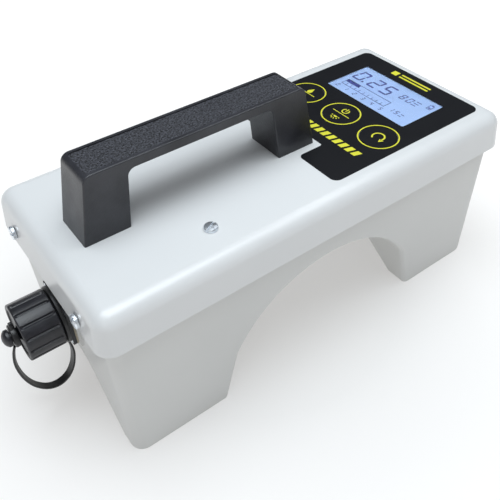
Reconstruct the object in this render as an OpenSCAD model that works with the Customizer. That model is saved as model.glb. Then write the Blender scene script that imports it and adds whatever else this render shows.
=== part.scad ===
/* [Case] */
// Length of the lid at its lower edge, along X
lid_l = 292; // [280:1:310]
// Width of the lid at its lower edge, along Y
lid_w = 132; // [128:1:140]
// Depth of the lid from its top face to its lower edge
lid_h = 24; // [22:1:28]
// Rounding of the lid's top edges and of its corners seen from above
lid_r = 9; // [8:0.5:11]
// Height of the tub from the feet's undersides to the lid's lower edge
tub_h = 94; // [90:1:105]
// How far the lid stands out past the tub all round
lid_overhang = 4.5; // [4:0.5:5]
// How much each end wall of the tub leans in towards its foot
end_draft = 3; // [2:0.5:5]
// How much each long wall of the tub leans in towards its foot
side_draft = 1.8; // [1:0.2:2.4]
// Rounding of the tub's upright corners
tub_r = 8; // [6:0.5:9]
// Wall of the tub and of the lid
wall = 2.8; // [2.6:0.1:3]

/* [Saddle] */
// Radius of the arch between the two feet
arch_r = 76; // [72:1:78]
// Height up to which each foot's inner face is flat
foot_flat_h = 37; // [30:1:40]
// Half width of the pole notch where it meets the feet's undersides
notch_half_w = 44.5; // [38:0.5:46]
// Height of the point where the notch's two flanks would meet
notch_point_h = 60; // [56:1:62]
// Rounding at the top of the notch, where the pole sits
notch_r = 25; // [18:1:26]
// Thickness of the metal electrodes that line the notch
electrode_t = 1.5; // [1:0.1:2]

/* [Handle] */
// Length of the handle where it meets the lid
handle_l = 150.8; // [140:0.2:156]
// Width of the handle where it meets the lid
handle_w = 27.4; // [25:0.2:30]
// Height of the handle over the lid
handle_h = 40.4; // [36:0.2:44]
// Thickness of the grip bar
grip_t = 5.8; // [5:0.2:8]
// Distance of the handle's middle from the case's middle, towards the inlet
handle_offset = 50; // [46:1:52]

/* [Controls] */
// Length of the display's window, along Y
window_l = 71; // [69:0.5:72]
// Width of the display's window, along X
window_w = 38.4; // [37:0.2:39]
// Distance from the case's middle to the middle of the window
window_x = 99; // [98:0.5:100]
// Radius of each key inside its printed ring
key_r = 11.8; // [11:0.1:12]
// Distance between neighbouring keys
key_pitch = 34; // [32:0.5:35]
// Distance from the case's middle to the row of keys
key_x = 60.3; // [60:0.1:61]
// How far a key goes down when pressed
key_travel = 0.4; // [0.3:0.05:0.5]

/* [Inlet] */
// Height of the inlet's middle over the feet's undersides
inlet_h = 70; // [68:1:72]
// Outer radius of the screw cap
cap_r = 16.5; // [16:0.1:17]
// Length of the screw cap
cap_l = 20; // [18:0.5:20]
// Side of the inlet's square flange
flange_w = 29.5; // [29.5:0.1:31]
// Number of grooves round the cap
cap_grooves = 14; // [10:1:18]

/* [Hidden] */
$fn = 48;

// A small overlap that makes cuts run clean through
cut = 1;

// Case: z = 0 is the plane of the feet's undersides
top_z = tub_h + lid_h;
lid_flare = 1.3;
roof_z = top_z - wall;
tub_l = lid_l - 2 * lid_overhang;
tub_w = lid_w - 2 * lid_overhang;
rim_top_z = top_z - 8;
foot_inner_wall = wall + 0.6;
foot_inner_r = 3;
notch_mouth_r = 3;
foot_inset = 0.06;
gasket_t = 2.4;

// Screwed joints between lid and tub
end_screw_y = 40;
end_screw_z = top_z - 16;
end_boss_r = 5;
end_boss_l = 9;
insert_r = 2.6;
insert_l = 7;
screw_r = 1.75;
end_head_h = 2.4;
end_head_x = lid_l / 2 - 0.3;

// Handle
handle_x = -handle_offset;
handle_top_l = handle_l - 14.2;
handle_top_w = handle_w - 1.5;
opening_l = handle_l - 53;
opening_top_l = opening_l - 8;
leg_x = (handle_l + opening_l) / 4;
handle_corner_r = 5;
opening_corner_r = 4.5;
pad_margin = 2.5;
pad_pocket = 1.2;
pad_t = 0.9;
handle_screw_r = 2.5;
handle_insert_r = 4;
handle_insert_l = 12;
backing_t = 2;

// Battery cradle, hung under the lid by the two top screws
cradle_x = -67.3;
top_screw_y = 40.6;
cradle_l = 56;
cradle_half_w = 34;
cradle_floor_z = 80;
sheet_t = 1.5;
cell_r = 7.1;
cell_l = 50;
cell_pitch_x = 15.6;
cell_pitch_z = 14.8;
holder_l = 49.6;
holder_w = 58;
holder_h = 29.8;
holder_web_h = 24;
holder_z = cradle_floor_z + sheet_t;

// Controls on the lid
overlay_t = 0.4;
overlay_right = 134;
overlay_left = 9.3;
overlay_half_w = 51.6;
overlay_slot_x = 27.9;
overlay_slot_half_w = 19.2;
key_gap = 0.3;
key_disc_t = 0.5;
key_pocket_h = key_disc_t + key_travel + 0.2;
key_stem_r = 3;
key_rows_y = [key_pitch, 0, -key_pitch];
window_r = 1.5;
board_t = 1.6;
display_board_z = 106.4;
display_board_left = 46;
display_board_right = 127;
display_board_half_w = 46.5;
glass_t = 2.6;
frame_lip_t = 0.5;
frame_top_z = top_z - 0.1;
frame_gap = 0.3;
frame_half_w = 40.5;
frame_x0 = 74;
frame_x1 = 124;

// Main board, standing on pillars moulded into the tub's arch
main_board_z = 88;
main_board_x0 = -33;
main_board_x1 = 62;
main_board_half_w = 45;
pillar_x = [-27, 55];
pillar_y = 39;
pillar_r = 4;

// Studs through the electrodes; a head sits a little below the plate's curve
stud_head_h = 1.4;
stud_head_drop = 0.35;

// Inlet on the end wall at -X
pad_x = 0.1 - tub_l / 2;
seat_half = 16.5;
gasket_x = pad_x - 1;
flange_x = gasket_x - 2;
ring_x = flange_x - 2.6;
cap_x = ring_x - 0.4;
barrel_r = 12.5;
barrel_back_r = 12.9;
barrel_front_x = cap_x - 14.5;
barrel_back_x = -125;
socket_r = 10.5;
inlet_bolt = 11.4;
bolt_r = 1.25;
bolt_head_r = 2.3;
bolt_head_h = 1.05;
flange_r = 3;
cap_end_x = cap_x - cap_l;
cap_wall_in_r = 12.56;
neck_r = 3;
button_r = 4.9;
button_x = cap_end_x - 4.2;
nose_x = -176.1;
eyelet_x = cap_end_x - 0.5;
eyelet_t = 3.2;

// Retaining strap, a flat band that hangs in the plane y = 0
strap_w = 5;
strap_t = 1.3;
strap_route = [
    [-171.0, 62.5], [-172.7, 58], [-173.9, 51], [-173.6, 43], [-171.8, 34], [-168.2, 25.5],
    [-162.4, 18.8], [-156, 16.8], [-150, 19.5], [-145.6, 26], [-143.3, 34.5],
    [-143, 41], [-143.9, 47], [-145.2, 51.5], [-145.4, 54]
];

// The cap's button and the far end screws are the ends of the whole object, which is
// centred on the frame's origin, so the case sits towards +X
body_x = (-nose_x - end_head_x - end_head_h) / 2;

// ---------- shared shapes ----------

function unit(v) = v / norm(v);

// Points of the arc of radius r that rounds corner b between neighbours a and c
function arc_points(a, b, c, r, steps = 8) =
    let (
        u = unit(a - b),
        v = unit(c - b),
        half = acos(u * v) / 2,
        centre = b + unit(u + v) * r / sin(half),
        from = b + u * r / tan(half) - centre,
        to = b + v * r / tan(half) - centre,
        start = atan2(from[1], from[0]),
        turn = atan2(from[0] * to[1] - from[1] * to[0], from * to)
    )
    [for (i = [0 : steps]) centre + r * [cos(start + turn * i / steps), sin(start + turn * i / steps)]];

// Outline through the given corners, each rounded to its own radius
function rounded_outline(corners, radii) =
    let (n = len(corners))
    [for (i = [0 : n - 1])
        for (p = radii[i] > 0
            ? arc_points(corners[(i + n - 1) % n], corners[i], corners[(i + 1) % n], radii[i])
            : [corners[i]])
        p];

// Rectangle with true round corners, centred
module round_rect(l, w, r) {
    square([l - 2 * r, w], center = true);
    square([l, w - 2 * r], center = true);
    for (sx = [-1, 1], sy = [-1, 1])
        translate([sx * (l / 2 - r), sy * (w / 2 - r)]) circle(r);
}

// Thin plate with round corners, used as one level of a lofted shell
module level(z, l, w, r) {
    translate([0, 0, z]) linear_extrude(0.01) round_rect(l, w, r, $fn = 32);
}

module rod_x(x0, x1, r) {
    translate([x0, 0, 0]) rotate([0, 90, 0]) cylinder(h = x1 - x0, r = r);
}

module rod_y(y0, y1, r) {
    translate([0, y1, 0]) rotate([90, 0, 0]) cylinder(h = y1 - y0, r = r);
}

// Extrudes an outline drawn in Y and Z along X
module along_x(x0, x1) {
    translate([x0, 0, 0]) rotate([90, 0, 90]) linear_extrude(x1 - x0) children();
}

// Extrudes an outline drawn in X and Z along Y, centred on y = 0
module along_y(w) {
    rotate([90, 0, 0]) linear_extrude(w, center = true) children();
}

// Slotted pan head screw: the head stands on z = 0 and the shank goes down
module pan_screw(head_r, head_h, shank_r, shank_l) {
    difference() {
        intersection() {
            cylinder(h = head_h, r = head_r);
            translate([0, 0, head_h - head_r * 1.6]) sphere(r = head_r * 1.6);
        }
        translate([-head_r, -0.5, head_h * 0.5]) cube([2 * head_r, 1, head_h]);
    }
    translate([0, 0, -shank_l]) cylinder(h = shank_l, r = shank_r);
}

// Slotted countersunk screw: the head's flat face lies on z = 0
module countersunk_screw(head_r, head_h, shank_r, shank_l) {
    difference() {
        union() {
            translate([0, 0, -head_h]) cylinder(h = head_h, r1 = shank_r, r2 = head_r);
            translate([0, 0, -shank_l]) cylinder(h = shank_l, r = shank_r);
        }
        translate([-head_r - cut, -0.35, -head_h * 0.5]) cube([2 * (head_r + cut), 0.7, head_h]);
    }
}

// Insulated wire through a list of points
module wire(points, r) {
    for (i = [0 : len(points) - 2])
        hull() {
            translate(points[i]) sphere(r, $fn = 8);
            translate(points[i + 1]) sphere(r, $fn = 8);
        }
}

// ---------- case ----------

// Cross-section of the pole notch, grown outwards by t
module notch_outline(t = 0) {
    lean = atan2(notch_point_h, notch_half_w);
    half_w = notch_half_w + t / sin(lean);
    point_h = notch_point_h + t / cos(lean);
    reach = notch_half_w + 20;
    polygon(rounded_outline(
        [[-reach, -10], [-reach, 0], [-half_w, 0], [0, point_h], [half_w, 0], [reach, 0], [reach, -10]],
        [0, 0, notch_mouth_r, notch_r + t, notch_mouth_r, 0, 0]));
}

// Half distance between the feet's inner faces at height z, along the arch's chord
function gap_at(z) =
    arch_r - z * (arch_r - sqrt(arch_r * arch_r - foot_flat_h * foot_flat_h)) / foot_flat_h;

// One foot up into the arch, shrunk inwards by t and by inner_t on the face towards
// the other foot, whose corners are tighter than the outer ones
module foot(side, t, inner_t) {
    outer_r = tub_r - t;
    inner_r = max(foot_inner_r - t, 0.6);
    hull() for (rise = [[t, 0], [foot_flat_h + 1, foot_inset]], y = [-1, 1]) {
        z = rise[0];
        lean = 1 - z / tub_h;
        x0 = gap_at(z) + inner_t + rise[1];
        x1 = tub_l / 2 - end_draft * lean - t - rise[1];
        half_w = tub_w / 2 - side_draft * lean - t - rise[1];
        translate([side * (x0 + inner_r), y * (half_w - inner_r), z])
            cylinder(h = 0.01, r = inner_r, $fn = 24);
        translate([side * (x1 - outer_r), y * (half_w - outer_r), z])
            cylinder(h = 0.01, r = outer_r, $fn = 32);
    }
}

// The tub over the feet, shrunk inwards by t, with the arch cut through it
module over_feet(t) {
    difference() {
        union() {
            hull() {
                level(0, tub_l - 2 * end_draft - 2 * t, tub_w - 2 * side_draft - 2 * t, tub_r - t);
                level(tub_h, tub_l - 2 * t, tub_w - 2 * t, tub_r - t);
            }
            translate([0, 0, tub_h - 0.5])
                linear_extrude(rim_top_z - tub_h + 0.5 + t) round_rect(tub_l - 2 * t, tub_w - 2 * t, tub_r - t);
        }
        translate([-lid_l, -lid_w, -cut]) cube([2 * lid_l, 2 * lid_w, foot_flat_h + cut]);
        rod_y(-lid_w, lid_w, arch_r + t, $fn = 96);
    }
}

module tub_outside() {
    over_feet(0);
    foot(1, 0, 0);
    foot(-1, 0, 0);
}

module tub_inside() {
    difference() {
        union() {
            over_feet(wall);
            foot(1, wall, foot_inner_wall);
            foot(-1, wall, foot_inner_wall);
        }
        along_x(-lid_l, lid_l) notch_outline(wall);
    }
}

module at_end_screws() {
    for (side = [0, 180], y = [-end_screw_y, end_screw_y])
        rotate([0, 0, side]) translate([0, y, end_screw_z]) children();
}

module tub_shell() {
    color("whitesmoke") difference() {
        union() {
            difference() {
                tub_outside();
                tub_inside();
            }
            // bosses for the lid's end screws
            at_end_screws() rod_x(tub_l / 2 - wall - end_boss_l, tub_l / 2 - 0.5, end_boss_r);
            // pillars that carry the main board
            intersection() {
                for (x = pillar_x, y = [-pillar_y, pillar_y])
                    translate([x, y, 40]) cylinder(h = main_board_z - 40, r = pillar_r);
                difference() {
                    translate([-tub_l / 2, -tub_w / 2, 0]) cube([tub_l, tub_w, tub_h]);
                    rod_y(-tub_w, tub_w, arch_r + wall / 2, $fn = 96);
                }
            }
            // flat seat for the inlet's flange
            translate([pad_x, -seat_half, inlet_h - seat_half]) cube([7, 2 * seat_half, 2 * seat_half]);
        }
        along_x(-lid_l, lid_l) notch_outline();
        at_end_screws() rod_x(tub_l / 2 - insert_l - 0.5, tub_l / 2 + cut, insert_r);
        for (x = pillar_x, y = [-pillar_y, pillar_y])
            translate([x, y, main_board_z - 8]) cylinder(h = 10, r = 1.3);
        translate([0, 0, inlet_h]) rod_x(pad_x - cut, pad_x + 9, barrel_back_r + 0.3);
        for (y = [-inlet_bolt, inlet_bolt], z = [-inlet_bolt, inlet_bolt])
            translate([0, y, inlet_h + z]) rod_x(pad_x - cut, pad_x + 9, bolt_r + 0.1);
        for (x = [-1, 1])
            translate([x * electrode_stud_x(), 0, 35]) cylinder(h = 15, r = 2.1);
    }
}

// Box with round corners and a quarter-round edge of radius r round its top face at z
module round_topped(z, l, w, r) {
    for (a = [0 : 11.25 : 90]) {
        inset = r * (1 - cos(a));
        level(z - 0.01 - r + r * sin(a), l - 2 * inset, w - 2 * inset, r - inset + 0.02);
    }
}

module lid_outside() {
    hull() {
        level(tub_h, lid_l, lid_w, lid_r + 1);
        round_topped(top_z, lid_l - 2 * lid_flare, lid_w - 2 * lid_flare, lid_r);
    }
}

module lid_inside() {
    hull() {
        level(tub_h - 0.01, lid_l - 2 * wall, lid_w - 2 * wall, lid_r + 1 - wall);
        round_topped(roof_z, lid_l - 2 * (lid_flare + wall), lid_w - 2 * (lid_flare + wall), lid_r - wall);
    }
}

// Rib ring under the lid's roof that presses on the gasket
module rim_ring(z, h, w) {
    translate([0, 0, z]) linear_extrude(h) difference() {
        round_rect(tub_l - 2, tub_w - 2, tub_r);
        round_rect(tub_l - 2 - 2 * w, tub_w - 2 - 2 * w, tub_r - w);
    }
}

module lid_shell() {
    color("white") difference() {
        union() {
            difference() {
                lid_outside();
                lid_inside();
            }
            intersection() {
                rim_ring(rim_top_z + gasket_t, lid_h, 2.4);
                lid_outside();
            }
        }
        at_end_screws() rod_x(tub_l / 2 - 2, lid_l / 2 + cut, 2.1);
        for (sx = [-1, 1])
            translate([handle_x + sx * leg_x, 0, roof_z - cut]) cylinder(h = 10, r = handle_screw_r + 0.2);
        for (y = [-top_screw_y, top_screw_y])
            translate([cradle_x, y, roof_z - cut]) cylinder(h = 10, r = 2.1);
        translate([frame_x0 - frame_gap, -frame_half_w - frame_gap, roof_z - cut])
            cube([frame_x1 - frame_x0 + 2 * frame_gap, 2 * (frame_half_w + frame_gap), 10]);
        for (y = key_rows_y) {
            translate([key_x, y, top_z - key_pocket_h]) cylinder(h = 10, r = key_r + key_gap);
            translate([key_x, y, roof_z - cut]) cylinder(h = 10, r = key_stem_r + 0.6);
        }
    }
}

module lid_gasket() {
    color("dimgray") rim_ring(rim_top_z, gasket_t, 2.3);
}

module end_screws() {
    color("silver") for (side = [0, 180], y = [-end_screw_y, end_screw_y])
        rotate([0, 0, side]) translate([end_head_x, y, end_screw_z])
            rotate([0, 90, 0]) rotate([0, 0, side == 0 ? 35 : -50 + y]) pan_screw(4, end_head_h, screw_r, 11);
}

module end_screw_inserts() {
    color("goldenrod") at_end_screws() difference() {
        rod_x(tub_l / 2 - insert_l - 0.5, tub_l / 2 - 0.5, insert_r);
        rod_x(tub_l / 2 - insert_l - cut, tub_l / 2 + cut, screw_r);
    }
}

// ---------- handle ----------

module handle_side() {
    top = handle_h;
    polygon(rounded_outline(
        [[-handle_l / 2, 0], [-handle_top_l / 2, top], [handle_top_l / 2, top], [handle_l / 2, 0],
            [opening_l / 2, 0], [opening_top_l / 2, top - grip_t],
            [-opening_top_l / 2, top - grip_t], [-opening_l / 2, 0]],
        [0, handle_corner_r, handle_corner_r, 0, 0, opening_corner_r, opening_corner_r, 0]));
}

module pad_shape(z, h, gap) {
    l = handle_top_l - 2 * pad_margin - 2 * gap;
    w = handle_top_w - 2 * pad_margin - 2 * gap;
    translate([handle_x, 0, z]) linear_extrude(h) round_rect(l, w, 2);
}

module handle() {
    color("#1c1c1e") difference() {
        intersection() {
            translate([handle_x, 0, top_z]) along_y(handle_w + 4) handle_side();
            translate([handle_x, 0, top_z]) along_x(-handle_l, handle_l) polygon([
                [-handle_w / 2, 0], [handle_w / 2, 0],
                [handle_top_w / 2, handle_h], [-handle_top_w / 2, handle_h]
            ]);
        }
        for (sx = [-1, 1])
            translate([handle_x + sx * leg_x, 0, top_z - cut])
                cylinder(h = handle_insert_l + cut, r = handle_insert_r);
        pad_shape(top_z + handle_h - pad_pocket, 5, 0);
    }
}

module grip_pad() {
    color("#2a2a2c") pad_shape(top_z + handle_h - pad_pocket, pad_t, 0.1);
}

module handle_inserts() {
    color("goldenrod") for (sx = [-1, 1])
        translate([handle_x + sx * leg_x, 0, top_z]) difference() {
            cylinder(h = handle_insert_l, r = handle_insert_r);
            translate([0, 0, -cut]) cylinder(h = handle_insert_l, r = handle_screw_r);
        }
}

module handle_backing_plate() {
    color("silver") translate([0, 0, roof_z - backing_t]) linear_extrude(backing_t) difference() {
        translate([handle_x, 0]) round_rect(handle_l, 26, 4);
        for (sx = [-1, 1])
            translate([handle_x + sx * leg_x, 0]) circle(handle_screw_r + 0.2);
    }
}

module handle_screws() {
    color("silver") for (sx = [-1, 1])
        translate([handle_x + sx * leg_x, 0, roof_z - backing_t]) rotate([180, 0, 0])
            pan_screw(4.6, 3, handle_screw_r, handle_insert_l + backing_t);
}

// ---------- battery pack ----------

module top_screws() {
    color("silver") for (y = [-top_screw_y, top_screw_y])
        translate([cradle_x, y, top_z]) rotate([0, 0, 28]) pan_screw(3.9, 2.2, 1.95, 8);
}

module battery_cradle() {
    wall_h = roof_z - cradle_floor_z;
    color("gainsboro") difference() {
        translate([cradle_x, 0, 0]) along_x(-cradle_l / 2, cradle_l / 2) {
            translate([-cradle_half_w, cradle_floor_z]) square([2 * cradle_half_w, sheet_t]);
            for (sy = [-1, 1]) {
                translate([sy * (cradle_half_w - sheet_t / 2) - sheet_t / 2, cradle_floor_z])
                    square([sheet_t, wall_h]);
                translate([sy * (cradle_half_w + 6) - 7.5, roof_z - sheet_t]) square([15, sheet_t]);
            }
        }
        for (y = [-top_screw_y, top_screw_y])
            translate([cradle_x, y, roof_z - 5]) cylinder(h = 10, r = 2.1);
        // clears the handle's backing plate
        translate([cradle_x - cradle_l, -14, roof_z - 3]) cube([2 * cradle_l, 28, 5]);
    }
}

module cradle_nuts() {
    color("silver") for (y = [-top_screw_y, top_screw_y])
        translate([cradle_x, y, roof_z - sheet_t - 3]) difference() {
            cylinder(h = 3, r = 4, $fn = 6);
            translate([0, 0, -cut]) cylinder(h = 5, r = 1.95);
        }
}

module at_cells() {
    for (i = [-1 : 1], k = [0, 1])
        translate([cradle_x + i * cell_pitch_x, 0, holder_z + holder_h / 2 + (k - 0.5) * cell_pitch_z])
            children();
}

module battery_holder() {
    color("#202020") difference() {
        union() {
            translate([cradle_x - holder_l / 2, -holder_w / 2, holder_z + (holder_h - holder_web_h) / 2])
                cube([holder_l, holder_w, holder_web_h]);
            for (y0 = [-holder_w / 2, cell_l / 2 + 0.6])
                translate([cradle_x - holder_l / 2, y0, holder_z])
                    cube([holder_l, holder_w / 2 - cell_l / 2 - 0.6, holder_h]);
        }
        at_cells() rod_y(-cell_l / 2 - 0.6, cell_l / 2 + 0.6, cell_r + 0.2);
    }
}

module battery_cells() {
    color("darkgoldenrod") at_cells() {
        rod_y(-cell_l / 2, cell_l / 2 - 1.5, cell_r);
        rod_y(0, cell_l / 2, 2.7);
    }
}

module battery_contacts() {
    color("silver") at_cells() for (sy = [-1, 1])
        translate([0, sy * (cell_l / 2 + 0.3), 0]) rod_y(-0.2, 0.2, 4);
}

// ---------- controls ----------

module overlay_outline() {
    x0 = overlay_left;
    x1 = overlay_right;
    xs = overlay_slot_x;
    y1 = overlay_half_w;
    y0 = overlay_slot_half_w;
    polygon(rounded_outline(
        [[x1, -y1], [x1, y1], [x0, y1], [x0, y0], [xs, y0], [xs, -y0], [x0, -y0], [x0, -y1]],
        [5, 5, 5, 3, 2, 2, 3, 5]));
}

module control_overlay() {
    color("#1e1f23") translate([0, 0, top_z]) linear_extrude(overlay_t) difference() {
        overlay_outline();
        translate([window_x, 0]) round_rect(window_w, window_l, window_r);
        for (y = key_rows_y)
            translate([key_x, y]) circle(key_r + key_gap);
    }
}

module display_window() {
    color("lightblue", 0.5) translate([window_x, 0, top_z]) linear_extrude(overlay_t)
        round_rect(window_w, window_l, window_r);
}

// One membrane key: a disc flush with the overlay and a stem down to its switch
module key(y) {
    color("#26272c") translate([key_x, y, 0]) {
        translate([0, 0, top_z - key_disc_t]) cylinder(h = key_disc_t + overlay_t, r = key_r);
        translate([0, 0, top_z - 5]) cylinder(h = 5, r = key_stem_r);
    }
}

module mode_key() {
    key(key_rows_y[0]);
}

module power_light_key() {
    key(key_rows_y[1]);
}

module reset_key() {
    key(key_rows_y[2]);
}

module display_frame() {
    color("silver") difference() {
        translate([frame_x0, -frame_half_w, display_board_z + board_t])
            cube([frame_x1 - frame_x0, 2 * frame_half_w, frame_top_z - display_board_z - board_t]);
        translate([frame_x0 + 1, -frame_half_w + 1, display_board_z])
            cube([frame_x1 - frame_x0 - 2, 2 * frame_half_w - 2, frame_top_z - display_board_z - frame_lip_t]);
        translate([window_x - window_w / 2 - 0.5, -window_l / 2 - 0.5, display_board_z])
            cube([window_w + 1, window_l + 1, 20]);
    }
}

module display_glass() {
    color("#aac8eb") translate([frame_x0 + 1.2, -frame_half_w + 1.2, frame_top_z - frame_lip_t - glass_t])
        cube([frame_x1 - frame_x0 - 2.4, 2 * frame_half_w - 2.4, glass_t]);
}

module display_backlight() {
    z0 = display_board_z + board_t;
    color("aliceblue") translate([frame_x0 + 1.2, -frame_half_w + 1.2, z0])
        cube([frame_x1 - frame_x0 - 2.4, 2 * frame_half_w - 2.4, frame_top_z - frame_lip_t - glass_t - z0]);
}

module at_display_posts() {
    for (x = [display_board_left + 4, display_board_right - 0.5 - 2.7], y = [-1, 1])
        translate([x, y * (display_board_half_w - 2.6), 0]) children();
}

module display_board() {
    color("darkgreen") difference() {
        translate([display_board_left, -display_board_half_w, display_board_z])
            cube([display_board_right - display_board_left, 2 * display_board_half_w, board_t]);
        at_display_posts() translate([0, 0, display_board_z - cut]) cylinder(h = 5, r = 1.6);
    }
}

module display_standoffs() {
    z0 = display_board_z + board_t;
    color("goldenrod") at_display_posts() difference() {
        translate([0, 0, z0]) cylinder(h = roof_z - z0, r = 2.4);
        translate([0, 0, z0 - cut]) cylinder(h = 5 + cut, r = 1.5);
    }
}

module display_screws() {
    color("silver") at_display_posts() translate([0, 0, display_board_z]) rotate([180, 0, 0])
        pan_screw(2.6, 1.8, 1.5, 6);
}

module key_switches() {
    z0 = display_board_z + board_t;
    color("#303030") for (y = key_rows_y) translate([key_x, y, z0]) {
        translate([-3, -3, 0]) cube([6, 6, 3.6]);
        cylinder(h = 4.2, r = 1.7);
    }
}

// ---------- electronics ----------

module main_board() {
    color("darkgreen") difference() {
        translate([main_board_x0, -main_board_half_w, main_board_z])
            cube([main_board_x1 - main_board_x0, 2 * main_board_half_w, board_t]);
        for (x = pillar_x, y = [-pillar_y, pillar_y])
            translate([x, y, main_board_z - cut]) cylinder(h = 5, r = 1.6);
    }
}

module main_board_screws() {
    color("silver") for (x = pillar_x, y = [-pillar_y, pillar_y])
        translate([x, y, main_board_z + board_t]) pan_screw(2.6, 1.8, 1.25, 7);
}

module board_components() {
    z0 = main_board_z + board_t;
    color("#262626") {
        for (spot = [[-18, -20, 12, 12], [-16, 12, 7, 10], [2, -28, 9, 7], [6, 24, 6, 12]])
            translate([spot[0], spot[1], z0]) cube([spot[2], spot[3], 1.8]);
        for (spot = [[-22, 30], [-10, 32], [-22, -32]])
            translate([spot[0], spot[1], z0]) cylinder(h = 10, r = 4);
        translate([0, 16, z0]) cube([5, 18, 6]);
    }
}

module high_voltage_transformer() {
    color("#1a2440") translate([16, -18, main_board_z + board_t]) {
        cube([38, 32, 14]);
        for (x = [8, 30])
            translate([x, 16, 0]) cylinder(h = 15.5, r = 3);
    }
}

module ribbon_cable() {
    color("lightgray") along_y_from(17, 33) polygon([
        [2.5, main_board_z + 7.6], [2.5, 101], [47, 101], [47, display_board_z],
        [48.2, display_board_z], [48.2, 99.8], [3.7, 99.8], [3.7, main_board_z + 7.6]
    ]);
}

module along_y_from(y0, y1) {
    translate([0, (y0 + y1) / 2, 0]) along_y(y1 - y0) children();
}

// ---------- pole electrodes ----------

function electrode_stud_x() = (tub_l / 2 - end_draft + arch_r) / 2;

// V-shaped plate that lines the notch in one foot
module electrode(side) {
    x0 = side * electrode_stud_x() - 22;
    color("gainsboro") difference() {
        along_x(x0, x0 + 44) difference() {
            notch_outline();
            notch_outline(-electrode_t);
            translate([-100, -20]) square([200, 24]);
        }
        translate([side * electrode_stud_x(), 0, 30]) cylinder(h = 20, r = 2.1);
    }
}

module display_end_electrode() {
    electrode(1);
}

module inlet_end_electrode() {
    electrode(-1);
}

// Low-headed studs that hold the plates and carry the current inside
module electrode_studs() {
    z0 = notch_top() - electrode_t;
    color("silver") for (side = [-1, 1])
        translate([side * electrode_stud_x(), 0, z0]) {
            translate([0, 0, -stud_head_h - stud_head_drop]) cylinder(h = stud_head_h, r = 3.6);
            translate([0, 0, -stud_head_h]) cylinder(h = 18, r = 2);
        }
}

function notch_top() =
    let (lean = atan2(notch_point_h, notch_half_w))
    notch_point_h - notch_r * (1 / cos(lean) - 1);

module electrode_nuts() {
    z0 = notch_top() + wall;
    color("silver") for (side = [-1, 1])
        translate([side * electrode_stud_x(), 0, z0]) difference() {
            union() {
                cylinder(h = 1, r = 4.5);
                translate([0, 0, 1]) cylinder(h = 3.2, r = 4, $fn = 6);
            }
            translate([0, 0, -cut]) cylinder(h = 8, r = 2);
        }
}

module display_end_lead() {
    x = electrode_stud_x();
    color("firebrick") wire([[x - 3.2, 0, notch_top() + 9], [x - 8, 8, 66], [x - 16, 16, 84],
        [x - 34, 22, 96], [52, 20, 96], [48, 20, 91.2]], 1.1);
}

module inlet_end_lead() {
    x = -electrode_stud_x();
    color("firebrick") wire([[x + 3.2, 0, notch_top() + 9], [x + 6, 20, 62], [x + 8, 40, 72],
        [x + 20, 46, 80], [-40, 47, 84], [-36, 43, 94], [-30, 36, 91.2]], 1.1);
}

module inlet_lead() {
    color("#303030") wire([[barrel_back_x + 2, 0, inlet_h + 2], [-118, -8, 74], [-108, -30, 78],
        [-98, -44, 82], [-44, -46, 84], [-36, -43, 94], [-30, -34.5, 91.4]], 1.4);
}

module battery_lead() {
    color("crimson") wire([[cradle_x + holder_l / 2 + 1.3, 8, 108], [-36, 10, 104], [-30, 12, 96],
        [-26, 14, 91.2]], 1.1);
}

// ---------- inlet and cap ----------

module at_inlet() {
    translate([0, 0, inlet_h]) children();
}

module at_inlet_bolts() {
    for (y = [-inlet_bolt, inlet_bolt], z = [-inlet_bolt, inlet_bolt])
        translate([0, y, inlet_h + z]) children();
}

module square_plate(x0, x1, bore_r) {
    difference() {
        at_inlet() along_x(x0, x1) round_rect(flange_w, flange_w, flange_r);
        at_inlet() rod_x(x0 - cut, x1 + cut, bore_r);
        at_inlet_bolts() rod_x(x0 - cut, x1 + cut, bolt_r + 0.1);
    }
}

module inlet_gasket() {
    color("tan") square_plate(gasket_x, pad_x, barrel_back_r + 0.3);
}

module inlet_shell() {
    color("#1b1b1d") difference() {
        union() {
            at_inlet() rod_x(barrel_front_x, flange_x + 1, barrel_r);
            at_inlet() rod_x(gasket_x - 0.5, barrel_back_x, barrel_back_r);
            square_plate(flange_x, gasket_x, 1);
        }
        at_inlet() rod_x(barrel_front_x - cut, barrel_back_x + cut, socket_r);
        at_inlet_bolts() translate([flange_x - 0.01, 0, 0]) rotate([0, 90, 0])
            cylinder(h = bolt_head_h, r1 = bolt_head_r + 0.1, r2 = bolt_r + 0.1);
    }
}

module inlet_insulator() {
    color("#3a3a3c") at_inlet() difference() {
        rod_x(flange_x - 4, barrel_back_x, socket_r - 0.02);
        for (a = [90, 210, 330])
            rotate([a, 0, 0]) translate([0, 0, 5.5]) rod_x(flange_x - 6, barrel_back_x + cut, 1.2);
    }
}

module inlet_pins() {
    color("goldenrod") at_inlet() for (a = [90, 210, 330])
        rotate([a, 0, 0]) translate([0, 0, 5.5]) rod_x(barrel_front_x + 3, barrel_back_x + 4, 1.2);
}

module inlet_screws() {
    color("silver") at_inlet_bolts() translate([flange_x, 0, 0]) rotate([0, -90, 0])
        countersunk_screw(bolt_head_r, bolt_head_h, bolt_r, 14);
}

module inlet_nuts() {
    color("silver") at_inlet_bolts() difference() {
        rotate([0, 90, 0]) translate([0, 0, pad_x + 7]) cylinder(h = 2, r = 2.89, $fn = 6);
        rod_x(pad_x, pad_x + 12, bolt_r);
    }
}

module strap_ring() {
    color("#1b1b1d") at_inlet() difference() {
        rod_x(ring_x, flange_x - 0.1, 16.9);
        rod_x(ring_x - cut, flange_x + cut, barrel_r + 0.05);
    }
}

// Outline of a band of thickness t that follows the route
function side_of(route, t) =
    let (n = len(route))
    [for (i = [0 : n - 1])
        let (
            ahead = route[min(i + 1, n - 1)] - route[max(i - 1, 0)],
            along = unit(ahead)
        )
        route[i] + t * [-along[1], along[0]]];

function reversed(list) = [for (i = [len(list) - 1 : -1 : 0]) list[i]];

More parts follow.
